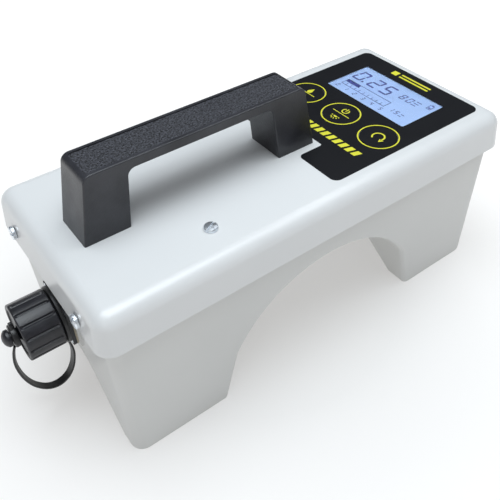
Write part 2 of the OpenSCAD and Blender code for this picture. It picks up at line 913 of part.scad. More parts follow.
module strap_band() {
    color("#1b1b1d") along_y(strap_w) polygon(concat(
        side_of(strap_route, strap_t / 2),
        reversed(side_of(strap_route, -strap_t / 2))));
}

module strap_eyelet() {
    color("#1b1b1d") at_inlet() difference() {
        rod_x(eyelet_x - eyelet_t, eyelet_x, 6.6);
        rod_x(eyelet_x - eyelet_t - cut, eyelet_x + cut, neck_r + 0.08);
    }
}

// Screw cap: a grooved cup with a neck and a button that hold the strap's eyelet
module cap_shell() {
    groove_r = 1;
    color("#1b1b1d") at_inlet() {
        difference() {
            union() {
                rod_x(cap_end_x, cap_x, cap_r, $fn = 96);
                rod_x(button_x - 1, cap_end_x + 1, neck_r);
                intersection() {
                    rod_x(nose_x, button_x, button_r);
                    translate([nose_x + 6, 0, 0]) sphere(6);
                }
            }
            rod_x(barrel_front_x - 2.2, cap_x + cut, cap_wall_in_r);
            for (i = [0 : cap_grooves - 1])
                rotate([i * 360 / cap_grooves, 0, 0]) translate([0, 0, cap_r + 0.1])
                    rod_x(cap_end_x + 1.5, cap_x - 1.5, groove_r);
        }
    }
}

module cap_seal() {
    color("#2b2b2b") at_inlet() difference() {
        rod_x(barrel_front_x - 2.2, barrel_front_x - 0.3, 12.4);
        rod_x(barrel_front_x - 4, barrel_front_x + cut, 10.2);
    }
}

// ---------- assembly ----------

module place() {
    translate([body_x, 0, 0]) children();
}

place() tub_shell();
place() lid_shell();
place() lid_gasket();
place() end_screws();
place() end_screw_inserts();
place() handle();
place() grip_pad();
place() handle_inserts();
place() handle_backing_plate();
place() handle_screws();
place() top_screws();
place() battery_cradle();
place() cradle_nuts();
place() battery_holder();
place() battery_cells();
place() battery_contacts();
place() control_overlay();
place() display_window();
place() display_frame();
place() display_glass();
place() display_backlight();
place() display_board();
place() display_standoffs();
place() display_screws();
place() key_switches();
place() mode_key();
place() power_light_key();
place() reset_key();
place() main_board();
place() board_components();
place() high_voltage_transformer();
place() main_board_screws();
place() ribbon_cable();
place() display_end_electrode();
place() inlet_end_electrode();
place() electrode_studs();
place() electrode_nuts();
place() display_end_lead();
place() inlet_end_lead();
place() inlet_lead();
place() battery_lead();
place() inlet_shell();
place() inlet_insulator();
place() inlet_pins();
place() inlet_gasket();
place() inlet_screws();
place() inlet_nuts();
place() strap_ring();
place() strap_band();
place() strap_eyelet();
place() cap_shell();
place() cap_seal();
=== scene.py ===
import math

import bmesh
import bpy
from mathutils import Matrix, Vector, noise


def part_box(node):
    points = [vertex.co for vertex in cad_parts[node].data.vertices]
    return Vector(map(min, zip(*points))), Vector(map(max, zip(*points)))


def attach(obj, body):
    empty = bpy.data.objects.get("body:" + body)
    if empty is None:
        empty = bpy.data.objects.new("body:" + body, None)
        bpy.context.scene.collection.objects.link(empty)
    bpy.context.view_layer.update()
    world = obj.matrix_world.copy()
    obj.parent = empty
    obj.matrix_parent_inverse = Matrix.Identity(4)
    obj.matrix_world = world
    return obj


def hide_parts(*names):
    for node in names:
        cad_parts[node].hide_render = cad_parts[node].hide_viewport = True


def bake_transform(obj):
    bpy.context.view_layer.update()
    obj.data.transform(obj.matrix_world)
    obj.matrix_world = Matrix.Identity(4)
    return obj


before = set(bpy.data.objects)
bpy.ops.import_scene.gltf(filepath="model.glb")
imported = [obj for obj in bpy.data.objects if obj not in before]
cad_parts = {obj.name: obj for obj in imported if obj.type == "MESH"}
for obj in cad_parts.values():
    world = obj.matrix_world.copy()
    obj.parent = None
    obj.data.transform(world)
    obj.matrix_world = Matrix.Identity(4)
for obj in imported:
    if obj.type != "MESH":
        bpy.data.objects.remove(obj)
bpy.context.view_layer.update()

# ------------------------------------------------------------------ studio
# The tester stands on a pale, glowing table under a soft ceiling lamp and a strip lamp, with a weak
# lamp in front. The camera looks down on the inlet end from the front left.

heading = math.radians(36.78)
look_down = math.radians(39.19)
tilt = math.radians(-0.92)
camera_data = bpy.data.cameras.new("camera")
camera_data.lens = 47.8
camera_data.shift_x = -0.034
camera_data.shift_y = -0.105
camera_data.clip_start = 0.01
camera = bpy.data.objects.new("camera", camera_data)
bpy.context.scene.collection.objects.link(camera)
camera.matrix_world = (
    Matrix.Translation((-0.1837, -0.2640, 0.3478))
    @ Matrix.Rotation(-heading, 4, "Z")
    @ Matrix.Rotation(math.pi / 2 - look_down, 4, "X")
    @ Matrix.Rotation(tilt, 4, "Z")
)
bpy.context.scene.camera = camera
bpy.context.scene.view_settings.view_transform = "Standard"


def area_lamp(name, place, aim, size, power, colour):
    """A square or strip lamp at place that shines at the point aim."""
    data = bpy.data.lights.new(name, "AREA")
    data.shape = "RECTANGLE"
    data.size, data.size_y = size
    data.energy = power
    data.color = colour
    lamp = bpy.data.objects.new(name, data)
    bpy.context.scene.collection.objects.link(lamp)
    lamp.location = place
    lamp.rotation_euler = (Vector(aim) - Vector(place)).to_track_quat("-Z", "Y").to_euler()


area_lamp("ceiling_lamp", (-0.08, -0.07, 1.15), (0, 0, 0.1), (0.95, 0.75), 12.6, (0.89, 0.955, 1.0))
area_lamp("overhead_strip", (0.60, -0.02, 1.05), (0, 0, 0.1), (1.1, 0.14), 2.8, (0.93, 0.97, 1.0))
area_lamp("front_fill", (-0.9, -1.0, 0.6), (0, 0, 0.08), (0.8, 0.8), 1.5, (1.0, 0.98, 0.95))

world = bpy.data.worlds.new("studio_air")
world.use_nodes = True
world.node_tree.nodes["Background"].inputs["Color"].default_value = (0.93, 0.96, 1.0, 1)
world.node_tree.nodes["Background"].inputs["Strength"].default_value = 0.17
bpy.context.scene.world = world

floor_half = 3.0
floor_mesh = bpy.data.meshes.new("table_top")
floor_corners = [(x * floor_half, y * floor_half, 0) for x, y in ((-1, -1), (1, -1), (1, 1), (-1, 1))]
floor_mesh.from_pydata(floor_corners, [], [(0, 1, 2, 3)])
floor = bpy.data.objects.new("table_top", floor_mesh)
bpy.context.scene.collection.objects.link(floor)
floor_paint = bpy.data.materials.new("table_paint")
floor_paint.use_nodes = True
floor_shader = floor_paint.node_tree.nodes["Principled BSDF"]
floor_shader.inputs["Base Color"].default_value = (0.42, 0.42, 0.42, 1)
floor_shader.inputs["Roughness"].default_value = 0.7
floor_shader.inputs["Emission Color"].default_value = (1.0, 0.99, 0.975, 1)
floor_nodes = floor_paint.node_tree.nodes
floor_links = floor_paint.node_tree.links
# The table glows less close to the tester: a painted shadow, its glow turned down with nearness to the
# tester's middle.
floor_reach = floor_nodes.new("ShaderNodeVectorMath")
floor_reach.operation = "LENGTH"
floor_glow_painted_shadow = floor_nodes.new("ShaderNodeMapRange")
for label, value in (("From Min", 0.10), ("From Max", 0.38), ("To Min", 0.40), ("To Max", 0.82)):
    floor_glow_painted_shadow.inputs[label].default_value = value
floor_links.new(floor_nodes.new("ShaderNodeTexCoord").outputs["Object"], floor_reach.inputs[0])
floor_links.new(floor_reach.outputs["Value"], floor_glow_painted_shadow.inputs["Value"])
floor_links.new(floor_glow_painted_shadow.outputs["Result"], floor_shader.inputs["Emission Strength"])
floor_mesh.materials.append(floor_paint)

# ------------------------------------------------------------------ tub
# The tub is the lower half of the case, a white plastic moulding with two hollow feet, an arch
# between them and a V notch through both feet for the pole. Its walls lean in towards the feet.

# Meshes are drawn in millimetres from the case's middle and the feet's undersides.
MM = 0.001
lid_low, lid_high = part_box("lid_shell")
case_x = (lid_low.x + lid_high.x) / 2


def in_case(node):
    """A CAD node's lowest and highest corners, in millimetres from the case's middle."""
    low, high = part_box(node)
    shift = Vector((case_x, 0, 0))
    return (low - shift) / MM, (high - shift) / MM


def shader_group(name, inputs, outputs):
    """An empty shader group with its sockets, its input node and its output node."""
    group = bpy.data.node_groups.new(name, "ShaderNodeTree")
    for label, kind, value in inputs:
        socket = group.interface.new_socket(label, in_out="INPUT", socket_type=kind)
        socket.default_value = value
    for label, kind in outputs:
        group.interface.new_socket(label, in_out="OUTPUT", socket_type=kind)
    return group, group.nodes.new("NodeGroupInput"), group.nodes.new("NodeGroupOutput")


def noise_node(tree, scale, detail, where):
    """A noise texture that reads the point where, at a scale that may be a socket or a number."""
    node = tree.nodes.new("ShaderNodeTexNoise")
    node.inputs["Detail"].default_value = detail
    tree.links.new(where, node.inputs["Vector"])
    if isinstance(scale, (int, float)):
        node.inputs["Scale"].default_value = scale
    else:
        tree.links.new(scale, node.inputs["Scale"])
    return node


def remap(tree, value, low, high, out_low, out_high):
    """Maps value from low..high to out_low..out_high, each a number or a socket."""
    node = tree.nodes.new("ShaderNodeMapRange")
    tree.links.new(value, node.inputs["Value"])
    for label, given in (("From Min", low), ("From Max", high), ("To Min", out_low), ("To Max", out_high)):
        if isinstance(given, (int, float)):
            node.inputs[label].default_value = given
        else:
            tree.links.new(given, node.inputs[label])
    return node.outputs["Result"]


COLOUR, NUMBER = "NodeSocketColor", "NodeSocketFloat"

# Faint mottling that every moulding, film and plating has: two colours and a spread of gloss.
mottle, mottle_in, mottle_out = shader_group(
    "mottled_finish",
    [
        ("Colour", COLOUR, (1, 1, 1, 1)),
        ("Second Colour", COLOUR, (1, 1, 1, 1)),
        ("Patch Scale", NUMBER, 30.0),
        ("Roughness", NUMBER, 0.4),
        ("Roughness Spread", NUMBER, 0.05),
    ],
    [("Colour", COLOUR), ("Roughness", NUMBER)],
)
mottle_place = mottle.nodes.new("ShaderNodeTexCoord").outputs["Object"]
patches = noise_node(mottle, mottle_in.outputs["Patch Scale"], 4.0, mottle_place)
mottle_mix = mottle.nodes.new("ShaderNodeMix")
mottle_mix.data_type = "RGBA"
mottle.links.new(remap(mottle, patches.outputs["Fac"], 0.35, 0.65, 0.0, 1.0), mottle_mix.inputs["Factor"])
mottle.links.new(mottle_in.outputs["Colour"], mottle_mix.inputs["A"])
mottle.links.new(mottle_in.outputs["Second Colour"], mottle_mix.inputs["B"])
smears = noise_node(mottle, 55.0, 6.0, mottle_place)
gloss_low = mottle.nodes.new("ShaderNodeMath")
gloss_low.operation = "SUBTRACT"
gloss_high = mottle.nodes.new("ShaderNodeMath")
gloss_high.operation = "ADD"
for gloss in (gloss_low, gloss_high):
    mottle.links.new(mottle_in.outputs["Roughness"], gloss.inputs[0])
    mottle.links.new(mottle_in.outputs["Roughness Spread"], gloss.inputs[1])
mottle_gloss = remap(mottle, smears.outputs["Fac"], 0.3, 0.7, gloss_low.outputs[0], gloss_high.outputs[0])
mottle.links.new(mottle_mix.outputs["Result"], mottle_out.inputs["Colour"])
mottle.links.new(mottle_gloss, mottle_out.inputs["Roughness"])

# Height of a fine cast or sparked texture, mixed from a soft noise and small cells.
grain, grain_in, grain_out = shader_group(
    "moulded_grain",
    [("Scale", NUMBER, 1500.0), ("Cells", NUMBER, 0.5)],
    [("Height", NUMBER)],
)
grain_place = grain.nodes.new("ShaderNodeTexCoord").outputs["Object"]
grain_noise = noise_node(grain, grain_in.outputs["Scale"], 2.0, grain_place)
grain_cells = grain.nodes.new("ShaderNodeTexVoronoi")
grain.links.new(grain_place, grain_cells.inputs["Vector"])
grain.links.new(grain_in.outputs["Scale"], grain_cells.inputs["Scale"])
grain_mix = grain.nodes.new("ShaderNodeMix")
grain.links.new(grain_in.outputs["Cells"], grain_mix.inputs["Factor"])
grain.links.new(grain_noise.outputs["Fac"], grain_mix.inputs["A"])
grain.links.new(grain_cells.outputs["Distance"], grain_mix.inputs["B"])
grain.links.new(grain_mix.outputs["Result"], grain_out.inputs["Height"])


def finish_material(name, colour, second, roughness, spread=0.05, patch=30.0, grain_scale=0.0,
                    grain_depth=0.0, cells=0.5, **constants):
    """A mottled, grained material. Keyword constants go straight onto the shader's own sockets."""
    material = bpy.data.materials.new(name)
    material.use_nodes = True
    tree = material.node_tree
    shader = tree.nodes["Principled BSDF"]
    look = tree.nodes.new("ShaderNodeGroup")
    look.node_tree = mottle
    look.inputs["Colour"].default_value = (*colour, 1)
    look.inputs["Second Colour"].default_value = (*second, 1)
    look.inputs["Patch Scale"].default_value = patch
    look.inputs["Roughness"].default_value = roughness
    look.inputs["Roughness Spread"].default_value = spread
    tree.links.new(look.outputs["Colour"], shader.inputs["Base Color"])
    tree.links.new(look.outputs["Roughness"], shader.inputs["Roughness"])
    if grain_depth > 0:
        texture = tree.nodes.new("ShaderNodeGroup")
        texture.node_tree = grain
        texture.inputs["Scale"].default_value = grain_scale
        texture.inputs["Cells"].default_value = cells
        bump = tree.nodes.new("ShaderNodeBump")
        bump.inputs["Distance"].default_value = grain_depth * MM
        tree.links.new(texture.outputs["Height"], bump.inputs["Height"])
        tree.links.new(bump.outputs["Normal"], shader.inputs["Normal"])
    for socket, value in constants.items():
        shader.inputs[socket.replace("_", " ")].default_value = value
    return material


def rounded_rect(half_l, half_w, r, steps=8):
    """Corner arcs of a rectangle, anticlockwise, as (x, y) pairs."""
    points = []
    for sx, sy, start in ((1, 1, 0), (-1, 1, 90), (-1, -1, 180), (1, -1, 270)):
        for i in range(steps + 1):
            a = math.radians(start + 90 * i / steps)
            points.append((sx * (half_l - r) + r * math.cos(a), sy * (half_w - r) + r * math.sin(a)))
    return points


def rounded_corners(corners, radii, steps=10):
    """An outline through the corners, each replaced by an arc of its own radius."""
    points = []
    count = len(corners)
    for i, (corner, r) in enumerate(zip(corners, radii)):
        here = Vector(corner)
        if r <= 0:
            points.append(here)
            continue
        back = (Vector(corners[i - 1]) - here).normalized()
        ahead = (Vector(corners[(i + 1) % count]) - here).normalized()
        half = back.angle(ahead) / 2
        centre = here + (back + ahead).normalized() * r / math.sin(half)
        first = here + back * r / math.tan(half) - centre
        last = here + ahead * r / math.tan(half) - centre
        turn = math.atan2(first.x * last.y - first.y * last.x, first.dot(last))
        for k in range(steps + 1):
            a = turn * k / steps
            points.append(centre + Vector((first.x * math.cos(a) - first.y * math.sin(a),
                                           first.x * math.sin(a) + first.y * math.cos(a))))
    return points


def loft(bm, rings, wrap=True, caps=True):
    """Skins a row of rings, each a list of points, and returns the rows of vertices."""
    rows = [[bm.verts.new(p) for p in ring] for ring in rings]
    last = len(rows[0]) if wrap else len(rows[0]) - 1
    for a, b in zip(rows, rows[1:]):
        for i in range(last):
            j = (i + 1) % len(a)
            bm.faces.new((a[i], a[j], b[j], b[i]))
    if caps:
        bm.faces.new(rows[0][::-1])
        bm.faces.new(rows[-1])
    return rows


def solid(name, bm):
    """A mesh object drawn in millimetres, with its doubles merged and its faces outwards."""
    bmesh.ops.remove_doubles(bm, verts=bm.verts, dist=0.0005)
    bmesh.ops.recalc_face_normals(bm, faces=bm.faces)
    mesh = bpy.data.meshes.new(name)
    bm.to_mesh(mesh)
    bm.free()
    obj = bpy.data.objects.new(name, mesh)
    bpy.context.scene.collection.objects.link(obj)
    return obj


def bake(obj):
    """Turns an object and its modifiers into a plain mesh."""
    bpy.context.view_layer.update()
    evaluated = obj.evaluated_get(bpy.context.evaluated_depsgraph_get())
    mesh = bpy.data.meshes.new_from_object(evaluated)
    mesh.name = obj.name
    obj.modifiers.clear()
    obj.data = mesh
    return obj


def carve(obj, tool, operation="DIFFERENCE"):
    """Cuts the tool out of obj, or joins it on, and deletes the tool."""
    step = obj.modifiers.new("carve", "BOOLEAN")
    step.operation = operation
    step.solver = "EXACT"
    step.object = tool
    bake(obj)
    bpy.data.objects.remove(tool)
    return obj


def prism(name, outline, low, high, axis="Z"):
    """A straight bar with the given outline: drawn in XY along Z, or in YZ along X."""
    bm = bmesh.new()
    loft(bm, [[(h, *p) if axis == "X" else (*p, h) for p in outline] for h in (low, high)])
    return solid(name, bm)


def circle(x, y, r, count=32):
    return [(x + r * math.cos(2 * math.pi * i / count), y + r * math.sin(2 * math.pi * i / count))
            for i in range(count)]


def rectangle(low_x, low_y, high_x, high_y):
    return [(low_x, low_y), (high_x, low_y), (high_x, high_y), (low_x, high_y)]


def lathe_rings(profile, count, x=0.0, y=0.0):
    """Rings about the upright axis at x, y, one for each (radius, height)."""
    return [[(px, py, z) for px, py in circle(x, y, r, count)] for r, z in profile]


def close_tip(bm, row, point):
    """Closes a ring with a fan of triangles to the point."""
    tip = bm.verts.new(point)
    for k, v in enumerate(row):
        bm.faces.new((tip, v, row[(k + 1) % len(row)]))


def drill(obj, spots, low, high, axis="Z"):
    """Bores round holes, each given as (x, y, radius) in the plane across the axis."""
    for x, y, r in spots:
        carve(obj, prism("drill", circle(x, y, r), low, high, axis))


def soften(obj, width, angle):
    """Rounds the edges that are sharper than the angle."""
    step = obj.modifiers.new("soft_edges", "BEVEL")
    step.width = width
    step.segments = 2
    step.limit_method = "ANGLE"
    step.angle_limit = math.radians(angle)
    return bake(obj)


def place_piece(obj, body, slot, material, *nodes, sharp=35):
    """Scales a finished piece to metres, gives it its finish and lets it ride on its body."""
    mesh = obj.data
    mesh.transform(Matrix.Translation((case_x, 0, 0)) @ Matrix.Scale(MM, 4))
    mesh.materials.clear()
    mesh.materials.append(material)
    for face in mesh.polygons:
        face.material_index = 0
        face.use_smooth = True
    mesh.set_sharp_from_angle(angle=math.radians(sharp))
    even = obj.modifiers.new("even_shading", "WEIGHTED_NORMAL")
    even.keep_sharp = True
    bake(obj)
    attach(obj, body)
    if nodes:
        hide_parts(*nodes)
    return obj


def dress(material, *nodes):
    """Gives carried-over CAD nodes their finish."""
    for node in nodes:
        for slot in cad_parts[node].material_slots:
            slot.material = material


tub_low, tub_high = in_case("tub_shell")
wall = 2.8
tub_half_l = -tub_low.x - 0.1
tub_half_w = tub_high.y
rim_z = tub_high.z
lid_edge_z = lid_low.z / MM
end_draft = 3.0
side_draft = 1.8
arch_r = 76.0
foot_top_z = 37.0
foot_corner_r = 8.0
foot_inner_r = 3.0
foot_edge_r = 0.6
arch_edge_r = 2.0
arch_steps = 28


def lean_in(z, draft):
    return draft * max(0.0, 1 - z / lid_edge_z)


def foot_gap(z):
    """Half the space between the feet at height z, on the straight chord under the arch."""
    top = math.sqrt(arch_r ** 2 - foot_top_z ** 2)
    return arch_r - z * (arch_r - top) / foot_top_z


def tub_row(side, a, t, inner_t, floor_z, top_z, edge):
    """One line over the tub: down from the rim at one end, round both feet and up to the other rim.
    The angle a goes round the border between the ends and a long face: 0 on the ends, 90 degrees on
    the long face. Everything is moved into the plastic by t, and the feet's inner walls by inner_t."""
    ca, sa = math.cos(a), math.sin(a)
    corner = foot_corner_r - t
    tight = max(foot_inner_r - t, 0.4)

    def trim(z):
        reach = z - floor_z
        return edge * (1 - math.sqrt(max(0.0, 1 - (1 - min(1.0, reach / edge)) ** 2))) if edge else 0.0

    def outer(z):
        e = trim(z)
        return (tub_half_l - t - lean_in(z, end_draft) - e - (corner - e) * (1 - ca),
                tub_half_w - t - lean_in(z, side_draft) - e - (corner - e) * (1 - sa), z)

    def inner(z):
        e = trim(z)
        return (foot_gap(z) + inner_t + e + (tight - e) * (1 - ca),
                tub_half_w - t - lean_in(z, side_draft) - e - (tight - e) * (1 - sa), z)

    def arch(share):
        r = arch_r + t + arch_edge_r * (1 - ca)
        start = math.asin(foot_top_z / r)
        angle = start + (math.pi / 2 - start) * share
        z = r * math.sin(angle)
        return (r * math.cos(angle), tub_half_w - t - lean_in(z, side_draft) - arch_edge_r * (1 - sa), z)

    foot_levels = [floor_z + edge * share for share in ((1, 0.6, 0.3, 0.1, 0) if edge else (0,))]
    half = [outer(z) for z in [top_z, lid_edge_z, foot_top_z] + foot_levels]
    half += [inner(z) for z in foot_levels[::-1] + [foot_top_z]]
    half += [arch(i / arch_steps) for i in range(arch_steps + 1)]
    whole = half + [(-x, y, z) for x, y, z in half[-2::-1]]
    return [(x, side * y, z) for x, y, z in whole]


def tub_solid(name, t, inner_t, floor_z, top_z, edge):
    bm = bmesh.new()
    steps = 8
    rows = []
    for side, angles in ((-1, range(steps, -1, -1)), (1, range(steps + 1))):
        for i in angles:
            rows.append(tub_row(side, math.pi / 2 * i / steps, t, inner_t, floor_z, top_z, edge))
    made = loft(bm, rows, wrap=False, caps=False)
    for row in (made[0], made[-1]):
        bm.faces.new((row[0], row[1], row[-2], row[-1]))
        bm.faces.new(row[1:-1])
    bm.faces.new([row[0] for row in made] + [row[-1] for row in made[::-1]])
    return solid(name, bm)


notch_half_w = 44.5
notch_point_z = 60.0
notch_r = 25.0
notch_mouth_r = 3.0
notch_slack = 10.0
notch_reach = 160.0


def notch_outline(t):
    """The pole notch's outline in Y and Z, grown outwards by t."""
    lean = math.atan2(notch_point_z, notch_half_w)
    half_w = notch_half_w + t / math.sin(lean)
    point_z = notch_point_z + t / math.cos(lean)
    reach = notch_half_w + 2 * notch_slack
    corners = [(-reach, -notch_slack), (-reach, 0), (-half_w, 0), (0, point_z), (half_w, 0), (reach, 0),
               (reach, -notch_slack)]
    radii = [0, 0, notch_mouth_r, notch_r + t, notch_mouth_r, 0, 0]
    return [tuple(p) for p in rounded_corners(corners, radii, 14)]


tub = tub_solid("tub", 0, 0, 0, rim_z, foot_edge_r)
hollow = tub_solid("tub_hollow", wall, wall + 0.6, wall, rim_z + 3, 0)
carve(hollow, prism("notch_wall", notch_outline(wall), -notch_reach, notch_reach, "X"))
carve(tub, hollow)

inlet_z = sum(c.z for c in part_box("inlet_shell")) / 2 / MM
seat_half = 16.5
seat_corner_r = 2.5
seat_depth = 7.0
boss_r = 5.0
boss_depth = 9.0
end_screw_y = 40.0
end_screw_z = 102.0
for end in (-1, 1):
    for y in (-end_screw_y, end_screw_y):
        boss = sorted((end * (tub_half_l - wall - boss_depth), end * (tub_half_l - 0.5)))
        carve(tub, prism("boss", circle(y, end_screw_z, boss_r), *boss, "X"), "UNION")
seat = [(y, inlet_z + z) for y, z in rounded_rect(seat_half, seat_half, seat_corner_r, 4)]
carve(tub, prism("inlet_seat", seat, tub_low.x, tub_low.x + seat_depth, "X"), "UNION")

# The main board's pillars: each pair's X and the height inside the arch's wall where it starts.
pillar_r = 4.0
pillar_y = 39.0
pillar_top_z = 88.0
pillar_feet = {-27: math.sqrt((arch_r + wall / 2) ** 2 - 27 ** 2), 55: 56.0}
pillar_spots = [(x, y) for x in pillar_feet for y in (-pillar_y, pillar_y)]
for x, y in pillar_spots:
    carve(tub, prism("pillar", circle(x, y, pillar_r, 24), pillar_feet[x], pillar_top_z), "UNION")
carve(tub, prism("pole_notch", notch_outline(0), -notch_reach, notch_reach, "X"))

stud_x = sum(c.x for c in in_case("display_end_electrode")) / 2
stud_bore_r = 2.1
pillar_bore_r = 1.3
insert_bore_r = 2.6
insert_bore_depth = 7.5
inlet_bore_r = 13.2
bolt_head_r = 2.3
bolt_r = 1.25
bolt_play = 0.1
drill(tub, [(end * stud_x, 0, stud_bore_r) for end in (-1, 1)], 35, 52)
drill(tub, [(x, y, pillar_bore_r) for x, y in pillar_spots], pillar_top_z - 8, pillar_top_z + 2)
for end in (-1, 1):
    bore = sorted((end * (tub_half_l - insert_bore_depth), end * (tub_half_l + 1)))
    drill(tub, [(y, end_screw_z, insert_bore_r) for y in (-end_screw_y, end_screw_y)], *bore, "X")
bolt_reach = in_case("inlet_screws")[1].y - bolt_head_r
inlet_bolts = [(y, inlet_z + z) for y in (-bolt_reach, bolt_reach) for z in (-bolt_reach, bolt_reach)]
seat_bores = [(0, inlet_z, inlet_bore_r)] + [(y, z, bolt_r + bolt_play) for y, z in inlet_bolts]
drill(tub, seat_bores, tub_low.x - 1, tub_low.x + seat_depth + 2, "X")

tub_plastic = finish_material(
    "tub_plastic", (0.645, 0.65, 0.638), (0.625, 0.63, 0.618), 0.36, 0.01, patch=14.0,
    grain_scale=420.0, grain_depth=0.012, cells=0.0, Coat_Weight=0.12, Coat_Roughness=0.2,
)
place_piece(tub, "case", "tub_plastic", tub_plastic, "tub_shell")

# ------------------------------------------------------------------ lid
# The lid is the glossy upper half of the case. Its skirt hangs over the tub's rim all round, its top
# edges are well rounded, and a rib under its roof presses on the seal.

lid_half_l = (lid_high.x - lid_low.x) / 2 / MM
lid_half_w = lid_high.y / MM
lid_top_z = lid_high.z / MM
lid_flare = 1.3
lid_edge_r = 9.0
roof_z = lid_top_z - wall


def lid_rings(t, lip):
    """Rings from the lid's lower edge to its top, the surface moved inwards by t."""
    rings = []
    for share in (0.0, 0.35, 1.0):
        inset = lip * (1 - share) ** 2 + t
        z = lid_edge_z + lip * share
        rings.append((z, lid_half_l - inset, lid_half_w - inset, lid_edge_r + 1 - t))
    for i in range(13):
        a = math.pi / 2 * i / 12
        inset = lid_flare + t + (lid_edge_r - t) * (1 - math.cos(a))
        z = lid_top_z - t - (lid_edge_r - t) * (1 - math.sin(a))
        rings.append((z, lid_half_l - inset, lid_half_w - inset, max(0.05, (lid_edge_r - t) * math.cos(a))))
    return [[(x, y, z) for x, y in rounded_rect(l, w, r, 10)] for z, l, w, r in rings]


bm = bmesh.new()
loft(bm, lid_rings(wall, 0.0)[::-1] + lid_rings(0, 0.5))
lid = solid("lid", bm)
rib = prism("rib", rounded_rect(tub_half_l - 1, tub_half_w - 1, 8), rim_z + 2.4, lid_top_z - 2)
carve(rib, prism("rib_hole", rounded_rect(tub_half_l - 3.4, tub_half_w - 3.4, 5.6), rim_z, lid_top_z))
carve(lid, rib, "UNION")

frame_low, frame_high = in_case("display_frame")
frame_gap = 0.3
opening = rectangle(frame_low.x - frame_gap, frame_low.y - frame_gap, frame_high.x + frame_gap,
                    frame_high.y + frame_gap)
carve(lid, prism("display_opening", opening, roof_z - 1, lid_top_z + 1))
key_nodes = ("mode_key", "power_light_key", "reset_key")
key_spots = [tuple(sum(corners) / 2 for corners in zip(*in_case(node)))[:2] for node in key_nodes]
key_hole_r = 12.1
key_hole_depth = 1.1
stem_bore_r = 3.6
drill(lid, [(x, y, key_hole_r) for x, y in key_spots], lid_top_z - key_hole_depth, lid_top_z + 1)
drill(lid, [(x, y, stem_bore_r) for x, y in key_spots], roof_z - 1, lid_top_z + 1)
top_screw_low, top_screw_high = in_case("top_screws")
top_screw_x = (top_screw_low.x + top_screw_high.x) / 2
top_screw_y = 40.6
handle_low, handle_high = in_case("handle")
handle_x = (handle_low.x + handle_high.x) / 2
leg_x = 62.15
lid_bore_r = 2.1
handle_screw_bore_r = 2.7
top_holes = [(top_screw_x, s * top_screw_y, lid_bore_r) for s in (-1, 1)]
top_holes += [(handle_x + s * leg_x, 0, handle_screw_bore_r) for s in (-1, 1)]
drill(lid, top_holes, roof_z - 1, lid_top_z + 1)
for end in (-1, 1):
    bore = sorted((end * (tub_half_l - 2), end * (lid_half_l + 1)))
    drill(lid, [(y, end_screw_z, lid_bore_r) for y in (-end_screw_y, end_screw_y)], *bore, "X")

lid_plastic = finish_material(
    "lid_plastic", (0.685, 0.695, 0.70), (0.665, 0.675, 0.68), 0.32, 0.01, patch=9.0,
    grain_scale=300.0, grain_depth=0.01, cells=0.0, Coat_Weight=0.25, Coat_Roughness=0.24,
)
place_piece(lid, "case", "lid_plastic", lid_plastic, "lid_shell")

# ------------------------------------------------------------------ seal and inserts
# A black foam rubber seal lies on the tub's rim. Brass inserts for the end screws are pressed into
# the tub's bosses.

seal_rubber = finish_material(
    "seal_rubber", (0.02, 0.02, 0.021), (0.035, 0.035, 0.036), 0.85, 0.05, patch=200.0,
    grain_scale=1800.0, grain_depth=0.05, cells=0.8,
)
brass = finish_material(
    "brass", (0.72, 0.53, 0.24), (0.62, 0.44, 0.18), 0.30, 0.08, patch=160.0,
    grain_scale=2500.0, grain_depth=0.006, cells=0.2, Metallic=1.0,
)
dress(seal_rubber, "lid_gasket", "cap_seal")
dress(brass, "end_screw_inserts", "handle_inserts", "display_standoffs", "inlet_pins")

# ------------------------------------------------------------------ handle
# The bridge handle is a black moulding with a fine sparked grain, tapered towards its top, and held
# from inside the lid. A pebbled rubber inlay lies in a shallow pocket along its top.

handle_h = handle_high.z - lid_top_z
handle_half_l = (handle_high.x - handle_low.x) / 2
handle_half_w = handle_high.y
handle_top_half_l = handle_half_l - 7.1
handle_top_half_w = handle_half_w - 0.75
grip_t = 5.8
opening_half_l = handle_half_l - 26.5
opening_top_half_l = opening_half_l - 4
handle_corner_r = 5.0
opening_corner_r = 4.5
handle_edge_r = 0.8
handle_outline = rounded_corners(
    [(-handle_half_l, 0), (-opening_half_l, 0), (-opening_top_half_l, handle_h - grip_t),
     (opening_top_half_l, handle_h - grip_t), (opening_half_l, 0), (handle_half_l, 0),
     (handle_top_half_l, handle_h), (-handle_top_half_l, handle_h)],
    [0, 0, opening_corner_r, opening_corner_r, 0, 0, handle_corner_r, handle_corner_r], 10)


def shrunk(outline, inset):
    """The anticlockwise outline moved inwards, its points on the base line kept on it."""
    sharpest = 0.4
    moved = []
    for i, here in enumerate(outline):
        before = (here - outline[i - 1]).normalized()
        after = (outline[(i + 1) % len(outline)] - here).normalized()
        side = (Vector((-before.y, before.x)) + Vector((-after.y, after.x))).normalized()
        spread = max(sharpest, side.dot(Vector((-after.y, after.x))))
        there = here + side * inset / spread
        if here.y < 0.001:
            flank = before if abs(before.y) > abs(after.y) else after
            reach = inset / max(sharpest, abs(flank.y))
            there = Vector((here.x + math.copysign(reach, side.x), here.y))
        moved.append(there)
    return moved


def edged_bar(name, outline, half_w, top_half_w, top_z, edge_r, base_z):
    """A bar along Y with the given XZ outline, its long edges rounded and its sides tapered."""
    bm = bmesh.new()
    rows = []
    steps = 4
    for side, angles in ((-1, range(steps, -1, -1)), (1, range(steps + 1))):
        for i in angles:
            a = math.pi / 2 * i / steps
            row = []
            for p in shrunk(outline, edge_r * (1 - math.cos(a))):
                half = half_w + (top_half_w - half_w) * p.y / top_z
                row.append((p.x, side * (half - edge_r * (1 - math.sin(a))), p.y + base_z))
            rows.append(row)
    loft(bm, rows)
    return solid(name, bm)


